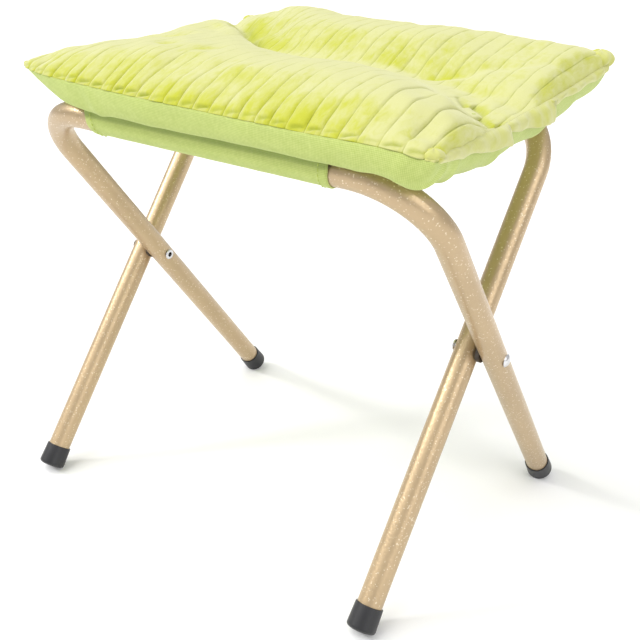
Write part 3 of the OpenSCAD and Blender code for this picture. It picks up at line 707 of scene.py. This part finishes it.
def sew(name, lines, pitch, length, radius, seed=1):
    """Stitches along lines of points in millimetres, as a plain mesh object."""
    material = bpy.data.materials["Thread"]
    points, edges = [], []
    for line in lines:
        start = len(points)
        points += [tuple(np.asarray(p, float) * MM) for p in line]
        edges += [(start + i, start + i + 1) for i in range(len(line) - 1)]
    mesh = bpy.data.meshes.new(name + "_line")
    mesh.from_pydata(points, edges, [])
    guide = bpy.data.objects.new(name + "_line", mesh)
    bpy.context.scene.collection.objects.link(guide)
    tree = bpy.data.node_groups.get("Stitch Line") or stitch_nodes()
    laid = guide.modifiers.new("Stitches", "NODES")
    laid.node_group = tree
    names = {item.name: item.identifier for item in tree.interface.items_tree if item.in_out == "INPUT"}
    for key, value in (("Pitch", pitch * MM), ("Stitch Length", length * MM), ("Thread Radius", radius * MM),
                       ("Seed", seed), ("Thread", material)):
        laid[names[key]] = value
    bpy.context.view_layer.update()
    shown = guide.evaluated_get(bpy.context.evaluated_depsgraph_get())
    plain = bpy.data.meshes.new_from_object(shown)
    plain.name = name
    bpy.data.objects.remove(guide)
    made = bpy.data.objects.new(name, plain)
    bpy.context.scene.collection.objects.link(made)
    if not plain.materials:
        plain.materials.append(material)
    if not plain.polygons:
        raise RuntimeError(f"{name} has no stitches")
    return made


# ---------- Shader groups ----------


def shader_group(name, inputs, outputs):
    """An empty shader node group with named sockets: (tree, its inputs)."""
    tree = bpy.data.node_groups.new(name, "ShaderNodeTree")
    for label, value in inputs.items():
        kind = "NodeSocketVector" if isinstance(value, tuple) else "NodeSocketFloat"
        tree.interface.new_socket(label, in_out="INPUT", socket_type=kind).default_value = value
    for label in outputs:
        tree.interface.new_socket(label, in_out="OUTPUT", socket_type="NodeSocketFloat")
    return tree, add_node(tree, "NodeGroupInput").outputs


def calc(tree, kind, a, b=0.0):
    """One sum of two values or sockets."""
    return add_node(tree, "ShaderNodeMath", {0: a, 1: b}, operation=kind).outputs[0]


def spread(tree, value, low, high, to_low=0.0, to_high=1.0):
    """value from low..high mapped smoothly to to_low..to_high."""
    given = {"Value": value, "From Min": low, "From Max": high, "To Min": to_low, "To Max": to_high}
    return add_node(tree, "ShaderNodeMapRange", given, interpolation_type="SMOOTHSTEP").outputs["Result"]


def weighted(tree, *terms):
    """Sum of (value, weight) pairs."""
    parts = [value if weight == 1 else calc(tree, "MULTIPLY", value, weight) for value, weight in terms]
    total = parts[0]
    for part in parts[1:]:
        total = calc(tree, "ADD", total, part)
    return total


def noise(tree, place, scale, detail=2.0, roughness=0.5, distortion=0.0):
    """Noise from 0 to 1 at a place."""
    given = {"Vector": place, "Scale": scale, "Detail": detail, "Roughness": roughness, "Distortion": distortion}
    return add_node(tree, "ShaderNodeTexNoise", given).outputs["Fac"]


def object_place(tree):
    """Place on the piece, in its own space."""
    return add_node(tree, "ShaderNodeTexCoord").outputs["Object"]


def uv_parts(tree, name):
    """The two coordinates of a piece's own UV map."""
    uv = add_node(tree, "ShaderNodeUVMap", uv_map=name).outputs["UV"]
    parts = add_node(tree, "ShaderNodeSeparateXYZ", {"Vector": uv}).outputs
    return parts["X"], parts["Y"]


def pile_group():
    """Plush pile: patches where it is brushed, thin lines of painted shade in the grooves, and fine fibre height."""
    sizes = {"Groove Width": 0.05, "Fibre Scale": 900.0}
    tree, given = shader_group("Plush Pile", sizes, ("Patches", "Groove", "Height"))
    across, along = uv_parts(tree, "wales")
    place = object_place(tree)

    def on_wales(x, stretch_x, stretch_y):
        """Place on the ribbed cloth, stretched along the wales."""
        scaled = {"X": calc(tree, "MULTIPLY", x, stretch_x), "Y": calc(tree, "MULTIPLY", along, stretch_y)}
        return add_node(tree, "ShaderNodeCombineXYZ", scaled).outputs["Vector"]

    broad = noise(tree, on_wales(across, 0.85, 0.34), 0.55, 3.0, 0.55)
    single = noise(tree, on_wales(calc(tree, "FLOOR", across), 0.45, 0.4), 1.0)
    strokes = noise(tree, place, 62.0, 4.0, distortion=0.8)
    short = noise(tree, on_wales(across, 3.0, 1.1), 1.0, 5.0, 0.6, 0.6)
    patch = weighted(tree, (broad, 0.35), (single, 0.2), (strokes, 0.25),
                     (calc(tree, "SUBTRACT", short, 0.3), 0.5))
    # Thin lines of painted shade along the grooves between the wales
    line = spread(tree, calc(tree, "PINGPONG", across, 0.5), given["Groove Width"], 0.0)
    gaps = noise(tree, on_wales(calc(tree, "FLOOR", calc(tree, "ADD", across, 0.5)), 1.0, 0.8), 1.0)
    groove = calc(tree, "MULTIPLY", line, spread(tree, gaps, 0.34, 0.62, 0.25, 1.0))
    height = weighted(tree, (noise(tree, place, given["Fibre Scale"]), 0.5), (noise(tree, place, 260.0), 1))
    add_node(tree, "NodeGroupOutput", {"Patches": patch, "Groove": groove, "Height": height})
    return tree


def weave_group():
    """Plain weave seen on the bias: shade and height."""
    tree, given = shader_group("Woven Cloth", {"Threads": 5.0}, ("Shade", "Height"))
    across, along = uv_parts(tree, "weave")
    place = object_place(tree)
    turns = calc(tree, "MULTIPLY", given["Threads"], 2 * math.pi)
    one, two = (calc(tree, "SINE", calc(tree, "MULTIPLY", calc(tree, kind, across, along), turns))
                for kind in ("ADD", "SUBTRACT"))
    cells = calc(tree, "MULTIPLY", one, two)
    slub = noise(tree, place, 420.0, 3.0)
    shade = weighted(tree, (cells, 0.34), (slub, 0.6), (noise(tree, place, 30.0), 0.3))
    add_node(tree, "NodeGroupOutput", {"Shade": shade, "Height": weighted(tree, (cells, 1), (slub, 0.8))})
    return tree


def paint_group():
    """Hammered metallic paint: small soft cells, fine spots for painted glints and slow drift."""
    tree, given = shader_group("Hammered Paint", {"Cell Scale": 750.0}, ("Cells", "Painted Glints", "Drift"))
    place, scale = object_place(tree), given["Cell Scale"]
    cells = add_node(tree, "ShaderNodeTexVoronoi", {"Vector": place, "Scale": scale}, feature="SMOOTH_F1")
    fine = {"Vector": place, "Scale": calc(tree, "MULTIPLY", scale, 1.8)}
    grains = add_node(tree, "ShaderNodeTexVoronoi", fine).outputs["Color"]
    pick = add_node(tree, "ShaderNodeSeparateColor", {"Color": grains}).outputs["Red"]
    add_node(tree, "NodeGroupOutput", {"Cells": cells.outputs["Distance"], "Painted Glints": spread(tree, pick, 0.95, 0.98),
                                       "Drift": noise(tree, place, 22.0, 3.0)})
    return tree


def scuff_group():
    """Faint wear: slow drift and fine grain."""
    tree, given = shader_group("Fine Wear", {"Grain Scale": 500.0}, ("Drift", "Grain"))
    place = object_place(tree)
    drift, grain = noise(tree, place, 60.0, 4.0), noise(tree, place, given["Grain Scale"])
    add_node(tree, "NodeGroupOutput", {"Drift": drift, "Grain": grain})
    return tree


def blank_material(name):
    """A new material with only a Principled BSDF: (material, tree, shader node)."""
    made = bpy.data.materials.new(name)
    made.use_nodes = True
    tree = made.node_tree
    tree.nodes.clear()
    shader = add_node(tree, "ShaderNodeBsdfPrincipled")
    add_node(tree, "ShaderNodeOutputMaterial", {"Surface": shader.outputs["BSDF"]})
    return made, tree, shader


def use_group(tree, name, **values):
    """Outputs of a shader group, with _ for the spaces in the names of its inputs."""
    node = add_node(tree, "ShaderNodeGroup", node_tree=bpy.data.node_groups[name])
    return link_inputs(tree, node, {key.replace("_", " "): value for key, value in values.items()}).outputs


def blend_colour(tree, factor, a, b):
    """Colour a at 0, b at 1."""
    return add_node(tree, "ShaderNodeMix", {0: factor, 6: a, 7: b}, data_type="RGBA").outputs[2]


def bump(tree, shader, height, strength, distance):
    """Let a height bend the shading normal."""
    made = add_node(tree, "ShaderNodeBump", {"Height": height, "Strength": strength, "Distance": distance})
    tree.links.new(made.outputs["Normal"], shader.inputs["Normal"])


def tone(given, share=1.0):
    """A colour of the settings, lighter or darker by a share."""
    return tuple(min(1, share * c) for c in given[:3]) + (1.0,)


def field(tree, name):
    """A value that the mesh carries."""
    return add_node(tree, "ShaderNodeAttribute", attribute_name=name).outputs["Fac"]


def plush_material(colours):
    """Pile with a painted sheen, paler where it is seen from its side, and painted shade in its grooves and creases."""
    made, tree, shader = blank_material("Plush")
    pile = use_group(tree, "Plush Pile")
    # Painted sheen: the pile is paler where the surface is seen from its side
    facing = add_node(tree, "ShaderNodeLayerWeight", {"Blend": 0.5}).outputs["Facing"]
    # The mix: painted sheen (paler seen from the side, deeper on sides that face the front), real patches of brushed
    # pile, and crushed pile with painted shade, both deeper
    tilt = weighted(tree, (facing, 0.4), (field(tree, "steep"), -0.62),
                    (calc(tree, "SUBTRACT", pile["Patches"], 0.5), 2.2), (field(tree, "crush_and_shade"), -0.58))
    base = blend_colour(tree, spread(tree, tilt, -0.66, 0.3), tone(colours.plush_deep), tone(colours.plush_pale))
    # Painted shade: thin dark lines in the grooves, fainter where the ribs are flat, together with the painted shade of
    # the creases
    lines = calc(tree, "MULTIPLY", pile["Groove"], spread(tree, field(tree, "ribbed"), 0.05, 0.9, 0.08, 0.62))
    dark = weighted(tree, (lines, 1), (field(tree, "crease"), 0.95))
    base = blend_colour(tree, calc(tree, "MINIMUM", dark, 1.0), base, tone(colours.plush_groove_shade))
    link_inputs(tree, shader, {"Base Color": base, "Roughness": 0.92, "Sheen Weight": 0.35, "Sheen Roughness": 0.45,
                               "Sheen Tint": (1.0, 1.0, 0.86, 1), "Specular IOR Level": 0.15})
    bump(tree, shader, pile["Height"], 0.35, 0.0006)
    return made


def cloth_material(colours):
    """Woven cloth, darker where the mesh says that it is shaded."""
    made, tree, shader = blank_material("Cloth")
    weave = use_group(tree, "Woven Cloth")
    base = blend_colour(tree, spread(tree, weave["Shade"], 0.15, 0.85), tone(colours.cloth_dark), tone(colours.cloth))
    shade = calc(tree, "MULTIPLY", field(tree, "shade"), 0.55)
    base = blend_colour(tree, shade, base, tone(colours.cloth_shade))
    link_inputs(tree, shader, {"Base Color": base, "Roughness": 0.85, "Sheen Weight": 0.15, "Specular IOR Level": 0.25})
    bump(tree, shader, weave["Height"], 0.2, 0.0002)
    return made


def worn_material(name, by, dark, pale, roughness, grain_scale=500.0, worn=None, bumped=False, **inputs):
    """A plain finish between two tones, by the Drift or the Grain of the wear, that can vary the roughness too."""
    made, tree, shader = blank_material(name)
    wear = use_group(tree, "Fine Wear", Grain_Scale=grain_scale)
    base = blend_colour(tree, wear[by], dark, pale)
    rough = spread(tree, wear[worn], 0.3, 0.7, *roughness) if worn else roughness
    link_inputs(tree, shader, {"Base Color": base, "Roughness": rough})
    link_inputs(tree, shader, {key.replace("_", " "): value for key, value in inputs.items()})
    if bumped:
        bump(tree, shader, wear["Grain"], 0.12, 0.0002)
    return made


def thread_material(colours):
    dim, thread = tone(colours.thread, 0.75), tone(colours.thread)
    return worn_material("Thread", "Grain", dim, thread, 0.7, 1400.0, Sheen_Weight=0.2)


def cap_material(colours):
    return worn_material("Cap plastic", "Drift", tone(colours.cap), tone(colours.cap, 1.5), (0.34, 0.48),
                         worn="Drift", bumped=True, Specular_IOR_Level=0.5)


def metal_material(colours):
    return worn_material("Rivet steel", "Drift", tone(colours.rivet, 0.8), tone(colours.rivet), (0.2, 0.32), 900.0,
                         worn="Grain", Metallic=1.0)


def spacer_material(colours):
    return worn_material("Spacer plastic", "Drift", tone(colours.spacer), tone(colours.spacer, 1.3), 0.5)


def paint_material(colours):
    """Metallic paint with painted glints and a slightly uneven gloss."""
    made, tree, shader = blank_material("Tube paint")
    paint = use_group(tree, "Hammered Paint")
    base = blend_colour(tree, spread(tree, paint["Drift"], 0.3, 0.7), tone(colours.tube), tone(colours.tube, 0.92))
    # Painted glints: pale spots in the base colour stand in for sparkles of light
    base = blend_colour(tree, calc(tree, "MULTIPLY", paint["Painted Glints"], 0.5), base, tone(colours.painted_glint))
    rough = spread(tree, paint["Cells"], 0.1, 0.6, 0.30, 0.42)
    link_inputs(tree, shader, {"Base Color": base, "Metallic": 0.64, "Roughness": rough, "Coat Weight": 0.25,
                               "Coat Roughness": 0.22})
    bump(tree, shader, paint["Cells"], 0.35, 0.00025)
    return made


# ---------- Settings ----------


def length_setting(name, description, default, low, high):
    return FloatProperty(name=name, description=description, default=default, min=low, max=high, unit="LENGTH")


def value_setting(name, description, default, low, high):
    return FloatProperty(name=name, description=description, default=default, min=low, max=high)


def count_setting(name, description, default, low, high=2**31 - 1):
    return IntProperty(name=name, description=description, default=default, min=low, max=high)


def colour(name, description, value):
    return FloatVectorProperty(name=name, description=description, default=(*value, 1.0), size=4, subtype="COLOR",
                               min=0, max=1)


class StoolCushionSettings(bpy.types.PropertyGroup):
    """Sizes of the soft parts."""

    wales: count_setting("Wales", "Number of ribs across the plush", 30, 10, 40)
    wale_height: length_setting("Wale height", "Height of a rib above its grooves", 0.0016, 0, 0.006)
    cloth_thickness: length_setting("Cloth thickness", "Thickness of the underside cloth", 0.001, 0.0005, 0.003)
    stitch_pitch: length_setting("Stitch pitch", "Distance from one stitch to the next", 0.0032, 0.001, 0.01)
    thread_radius: length_setting("Thread radius", "Radius of the sewing thread", 0.0003, 0.0001, 0.001)
    pressure: value_setting("Pressure", "Air pressure of the cloth simulation", 4.0, 0, 20)
    slack: value_setting("Slack", "Share by which the cloth is larger than its form", 0.02, 0, 0.2)
    move_limit: length_setting("Move limit", "Furthest that the simulation moves a point", 0.003, 0, 0.016)
    frames: count_setting("Frames", "Length of the cloth simulation", 20, 2, 60)
    seed: count_setting("Seed", "Seed of the small differences between ribs", 7, 0)


class StoolColourSettings(bpy.types.PropertyGroup):
    """Colours of the finishes."""

    # Plush tones: the pile is mixed between them by a painted sheen (paler seen from its side, deeper on sides that
    # face the front), by painted shade, and by real patches of brushed and crushed pile
    plush_pale: colour("Plush, brushed", "Pile seen from its side", (0.56, 0.56, 0.25))
    plush_deep: colour("Plush, deep", "Pile seen from its tip", (0.465, 0.485, 0.04))
    # Painted shade in the grooves, creases and seams
    plush_groove_shade: colour("Plush groove", "Bottom of the grooves", (0.27, 0.31, 0.03))
    cloth: colour("Cloth", "Woven underside cloth", (0.53, 0.60, 0.205))
    cloth_dark: colour("Cloth, dark threads", "Shaded side of the weave", (0.39, 0.475, 0.118))
    cloth_shade: colour("Cloth, shade", "Gap above the tunnels", (0.15, 0.21, 0.05))
    thread: colour("Thread", "Sewing thread", (0.50, 0.60, 0.10))
    tube: colour("Tube paint", "Metallic paint of the frames", (0.515, 0.382, 0.228))
    # Painted glints of the tube paint
    painted_glint: colour("Tube glints", "Bright flakes in the paint", (0.95, 0.86, 0.66))
    cap: colour("Cap", "Plastic of the foot caps", (0.012, 0.012, 0.014))
    rivet: colour("Rivet", "Steel of the rivets", (0.75, 0.75, 0.76))
    spacer: colour("Spacer", "Plastic between the tubes", (0.05, 0.038, 0.028))


class StoolStageSettings(bpy.types.PropertyGroup):
    """Camera and light."""

    lens: value_setting("Lens", "Focal length on a 36 mm sensor, in millimetres", 50.42, 10, 200)
    key: value_setting("Key light", "Strength of the large light from above", 1.5, 0, 20)
    side: value_setting("Side light", "Strength of the smaller light from the left", 1.1, 0, 20)
    fill: value_setting("Fill light", "Strength of the soft light from the right", 0.8, 0, 20)
    sky: value_setting("Surround", "Brightness of the surround that lights the object", 0.7, 0, 5)
    floor: value_setting("Floor", "Brightness of the pale floor", 0.93, 0, 1)


# ---------- Operators ----------


class STOOL_OT_finishes(bpy.types.Operator):
    """Make the shader groups and materials"""

    bl_idname = "stool.finishes"
    bl_label = "Finishes"

    def execute(self, context):
        for make in (pile_group, weave_group, paint_group, scuff_group):
            make()
        for make in (plush_material, cloth_material, thread_material, paint_material, cap_material, metal_material,
                     spacer_material):
            make(context.scene.stool_colours)
        return {"FINISHED"}


class STOOL_OT_frame(bpy.types.Operator):
    """Give the tubes, caps, rivets and spacers their finishes"""

    bl_idname = "stool.frame"
    bl_label = "Frame"

    def execute(self, context):
        nodes = {o["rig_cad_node"]: o for o in context.scene.objects if "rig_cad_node" in o}
        for kind, material, slot in (("frame_tube", "Tube paint", "tube_finish"),
                                     ("frame_cap", "Cap plastic", "foot_cap"),
                                     ("pivot_rivet", "Rivet steel", "rivet"),
                                     ("pivot_spacer", "Spacer plastic", "spacer")):
            for obj in (obj for name, obj in nodes.items() if kind in name):
                obj.data.materials.clear()
                obj.data.materials.append(bpy.data.materials[material])
        if sum("frame_tube" in name for name in nodes) != 2:
            raise RuntimeError("the packed model has no two frame tubes")
        return {"FINISHED"}


def bend_at_fold(obj):
    """Bake the placement of a piece that covers both halves of the seat into its mesh."""
    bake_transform(obj)


class STOOL_OT_cushion(bpy.types.Operator):
    """Build the ribbed plush cushion and its sewn edges"""

    bl_idname = "stool.cushion"
    bl_label = "Cushion"

    def execute(self, context):
        cushion = build_cushion(context.scene.stool_cushion)
        bend_at_fold(cushion)
        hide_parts("plush_cover_front", "plush_cover_rear", "filling_front", "filling_rear")
        for side in ("left", "right"):
            flange = build_flange(f"plush_edge_{side}", side)
            bend_at_fold(flange)
        for name, centre, size, body in KNOBS:
            knob = build_knob(name, centre, size, centre[0] / 40)
            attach(knob, body)
        return {"FINISHED"}


class STOOL_OT_underside(bpy.types.Operator):
    """Build the woven cloth of the underside"""

    bl_idname = "stool.underside"
    bl_label = "Underside cloth"

    def execute(self, context):
        cloth = build_underside(context.scene.stool_cushion)
        bend_at_fold(cloth)
        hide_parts("seat_cloth_front", "seat_cloth_rear")
        return {"FINISHED"}


class STOOL_OT_tunnels(bpy.types.Operator):
    """Build the two cloth tunnels round the top bars and their stitching"""

    bl_idname = "stool.tunnels"
    bl_label = "Bar tunnels"

    def execute(self, context):
        settings = context.scene.stool_cushion
        for name, thread_name, node, body, out, left, right in TUNNELS:
            tunnel = build_tunnel(name, out, left, right, settings)
            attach(tunnel, body)
            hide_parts(node)
            lines = []
            for loop in FORM[name][(7, -8), 1:TUNNEL_POINTS - 1]:
                centre = np.array([loop[0, 0], BAR_Y * out, BAR_Z])
                lines.append(loop + STITCH_LIFT * (loop - centre))
            threads = sew(thread_name, lines, settings.stitch_pitch / MM, STITCH_LENGTH, settings.thread_radius / MM)
            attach(threads, body)
        return {"FINISHED"}


class STOOL_OT_tufts(bpy.types.Operator):
    """Lay the thread tacks in the bottoms of the tufts"""

    bl_idname = "stool.tufts"
    bl_label = "Tufts"

    def execute(self, context):
        points = FORM["plush"]
        row = np.linspace(-TACK_REACH, TACK_REACH, 9)
        for body, name, node in ((FRONT, "tuft_threads_front", "tuft_tacks_front"),
                                 (REAR, "tuft_threads_rear", "tuft_tacks_rear")):
            lines = []
            for x, y in TACKS[body]:
                for side in (-0.5, 0, 0.5):
                    places = [np.array([x + side + 0.15 * along, y + along]) for along in row]
                    near = [points[np.hypot(*(points[:, :2] - at).T) < 2.5] for at in places]
                    lines.append([(*at, around[:, 2].min() + 0.2) for at, around in zip(places, near)])
            threads = sew(name, lines, TACK_PITCH, TACK_LENGTH, TACK_RADIUS, seed=3)
            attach(threads, body)
            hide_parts(node)
        return {"FINISHED"}


def light_surround(scene, sky):
    """A plain surround that is white to the camera and lights the object more from above."""
    world = bpy.data.worlds.new("Studio")
    scene.world = world
    world.use_nodes = True
    tree = world.node_tree
    tree.nodes.clear()
    path = add_node(tree, "ShaderNodeLightPath").outputs
    place = add_node(tree, "ShaderNodeTexCoord").outputs["Generated"]
    height = add_node(tree, "ShaderNodeSeparateXYZ", {"Vector": place}).outputs["Z"]
    glow = calc(tree, "MULTIPLY", spread(tree, height, -0.1, 0.8, 0.75, 1.15), sky)
    seen = calc(tree, "MAXIMUM", path["Is Camera Ray"], path["Is Transmission Ray"])
    strength = add_node(tree, "ShaderNodeMix", {0: seen, 2: glow, 3: 1.0}).outputs[0]
    light = add_node(tree, "ShaderNodeBackground", {"Color": (1, 1, 1, 1), "Strength": strength})
    add_node(tree, "ShaderNodeOutputWorld", {"Surface": light.outputs[0]})


def camera_turn():
    """Turn of the camera, from its fitted yaw, pitch and roll."""
    yaw, pitch, roll = (math.radians(a) for a in CAMERA_ANGLES)
    ahead = Vector((math.sin(yaw) * math.cos(pitch), math.cos(yaw) * math.cos(pitch), -math.sin(pitch)))
    right = Vector((math.cos(yaw), -math.sin(yaw), 0))
    up = right.cross(ahead)
    across = math.cos(roll) * right + math.sin(roll) * up
    upright = -math.sin(roll) * right + math.cos(roll) * up
    return Matrix((across, upright, -ahead)).transposed().to_4x4()


class STOOL_OT_stage(bpy.types.Operator):
    """Set the floor, lights, surround and camera"""

    bl_idname = "stool.stage"
    bl_label = "Stage"

    def execute(self, context):
        scene, settings = context.scene, context.scene.stool_stage
        made, tree, shader = blank_material("Floor")
        white = (settings.floor,) * 3 + (1,)
        link_inputs(tree, shader, {"Base Color": white, "Roughness": 0.9, "Specular IOR Level": 0.1})
        corners = [(FLOOR_REACH * x, FLOOR_REACH * y, 0) for x, y in ((-1, -1), (1, -1), (1, 1), (-1, 1))]
        floor = add_mesh("floor", corners, [(0, 1, 2, 3)], made.name)
        light_surround(scene, settings.sky)
        for name, power, wide, toward in (("key_light", settings.key, 50, (-0.35, -0.45, 1.0)),
                                          ("side_light", settings.side, 9, (-0.9, -0.55, 0.75)),
                                          ("fill_light", settings.fill, 40, (0.95, -0.25, 0.55))):
            lamp = bpy.data.lights.new(name, "SUN")
            lamp.energy, lamp.angle = power, math.radians(wide)
            sun = bpy.data.objects.new(name, lamp)
            sun.rotation_mode = "QUATERNION"
            sun.rotation_quaternion = Vector(toward).to_track_quat("Z", "Y")
            scene.collection.objects.link(sun)
        lens = bpy.data.cameras.new("camera")
        lens.sensor_width, lens.lens = 36, settings.lens
        camera = bpy.data.objects.new("camera", lens)
        camera.matrix_world = Matrix.Translation(CAMERA_PLACE) @ camera_turn()
        scene.collection.objects.link(camera)
        scene.camera = camera
        scene.view_settings.view_transform = "Standard"
        return {"FINISHED"}


class STOOL_PT_panel(bpy.types.Panel):
    """Settings and steps of the footstool"""

    bl_label = "Footstool"
    bl_idname = "STOOL_PT_panel"
    bl_space_type = "VIEW_3D"
    bl_region_type = "UI"
    bl_category = "Footstool"

    def draw(self, context):
        for group in (context.scene.stool_cushion, context.scene.stool_colours, context.scene.stool_stage):
            box = self.layout.box()
            for key in group.__annotations__:
                box.prop(group, key)
        for step in STEPS:
            self.layout.operator(step.bl_idname)


STEPS = (STOOL_OT_finishes, STOOL_OT_frame, STOOL_OT_cushion, STOOL_OT_underside, STOOL_OT_tunnels,
         STOOL_OT_tufts, STOOL_OT_stage)
GROUPS = {"stool_cushion": StoolCushionSettings, "stool_colours": StoolColourSettings,
          "stool_stage": StoolStageSettings}


def register():
    for kind in (*GROUPS.values(), *STEPS, STOOL_PT_panel):
        bpy.utils.register_class(kind)
    for key, kind in GROUPS.items():
        setattr(bpy.types.Scene, key, PointerProperty(type=kind))


def unregister():
    for key in GROUPS:
        delattr(bpy.types.Scene, key)
    for kind in (STOOL_PT_panel, *reversed(STEPS), *reversed(list(GROUPS.values()))):
        bpy.utils.unregister_class(kind)


def main():
    """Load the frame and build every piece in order."""
    for old in list(bpy.data.objects):
        bpy.data.objects.remove(old)
    register()
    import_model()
    bpy.ops.stool.finishes()
    bpy.ops.stool.frame()
    bpy.ops.stool.cushion()
    bpy.ops.stool.underside()
    bpy.ops.stool.tunnels()
    bpy.ops.stool.tufts()
    bpy.ops.stool.stage()


if __name__ == "__main__":
    main()
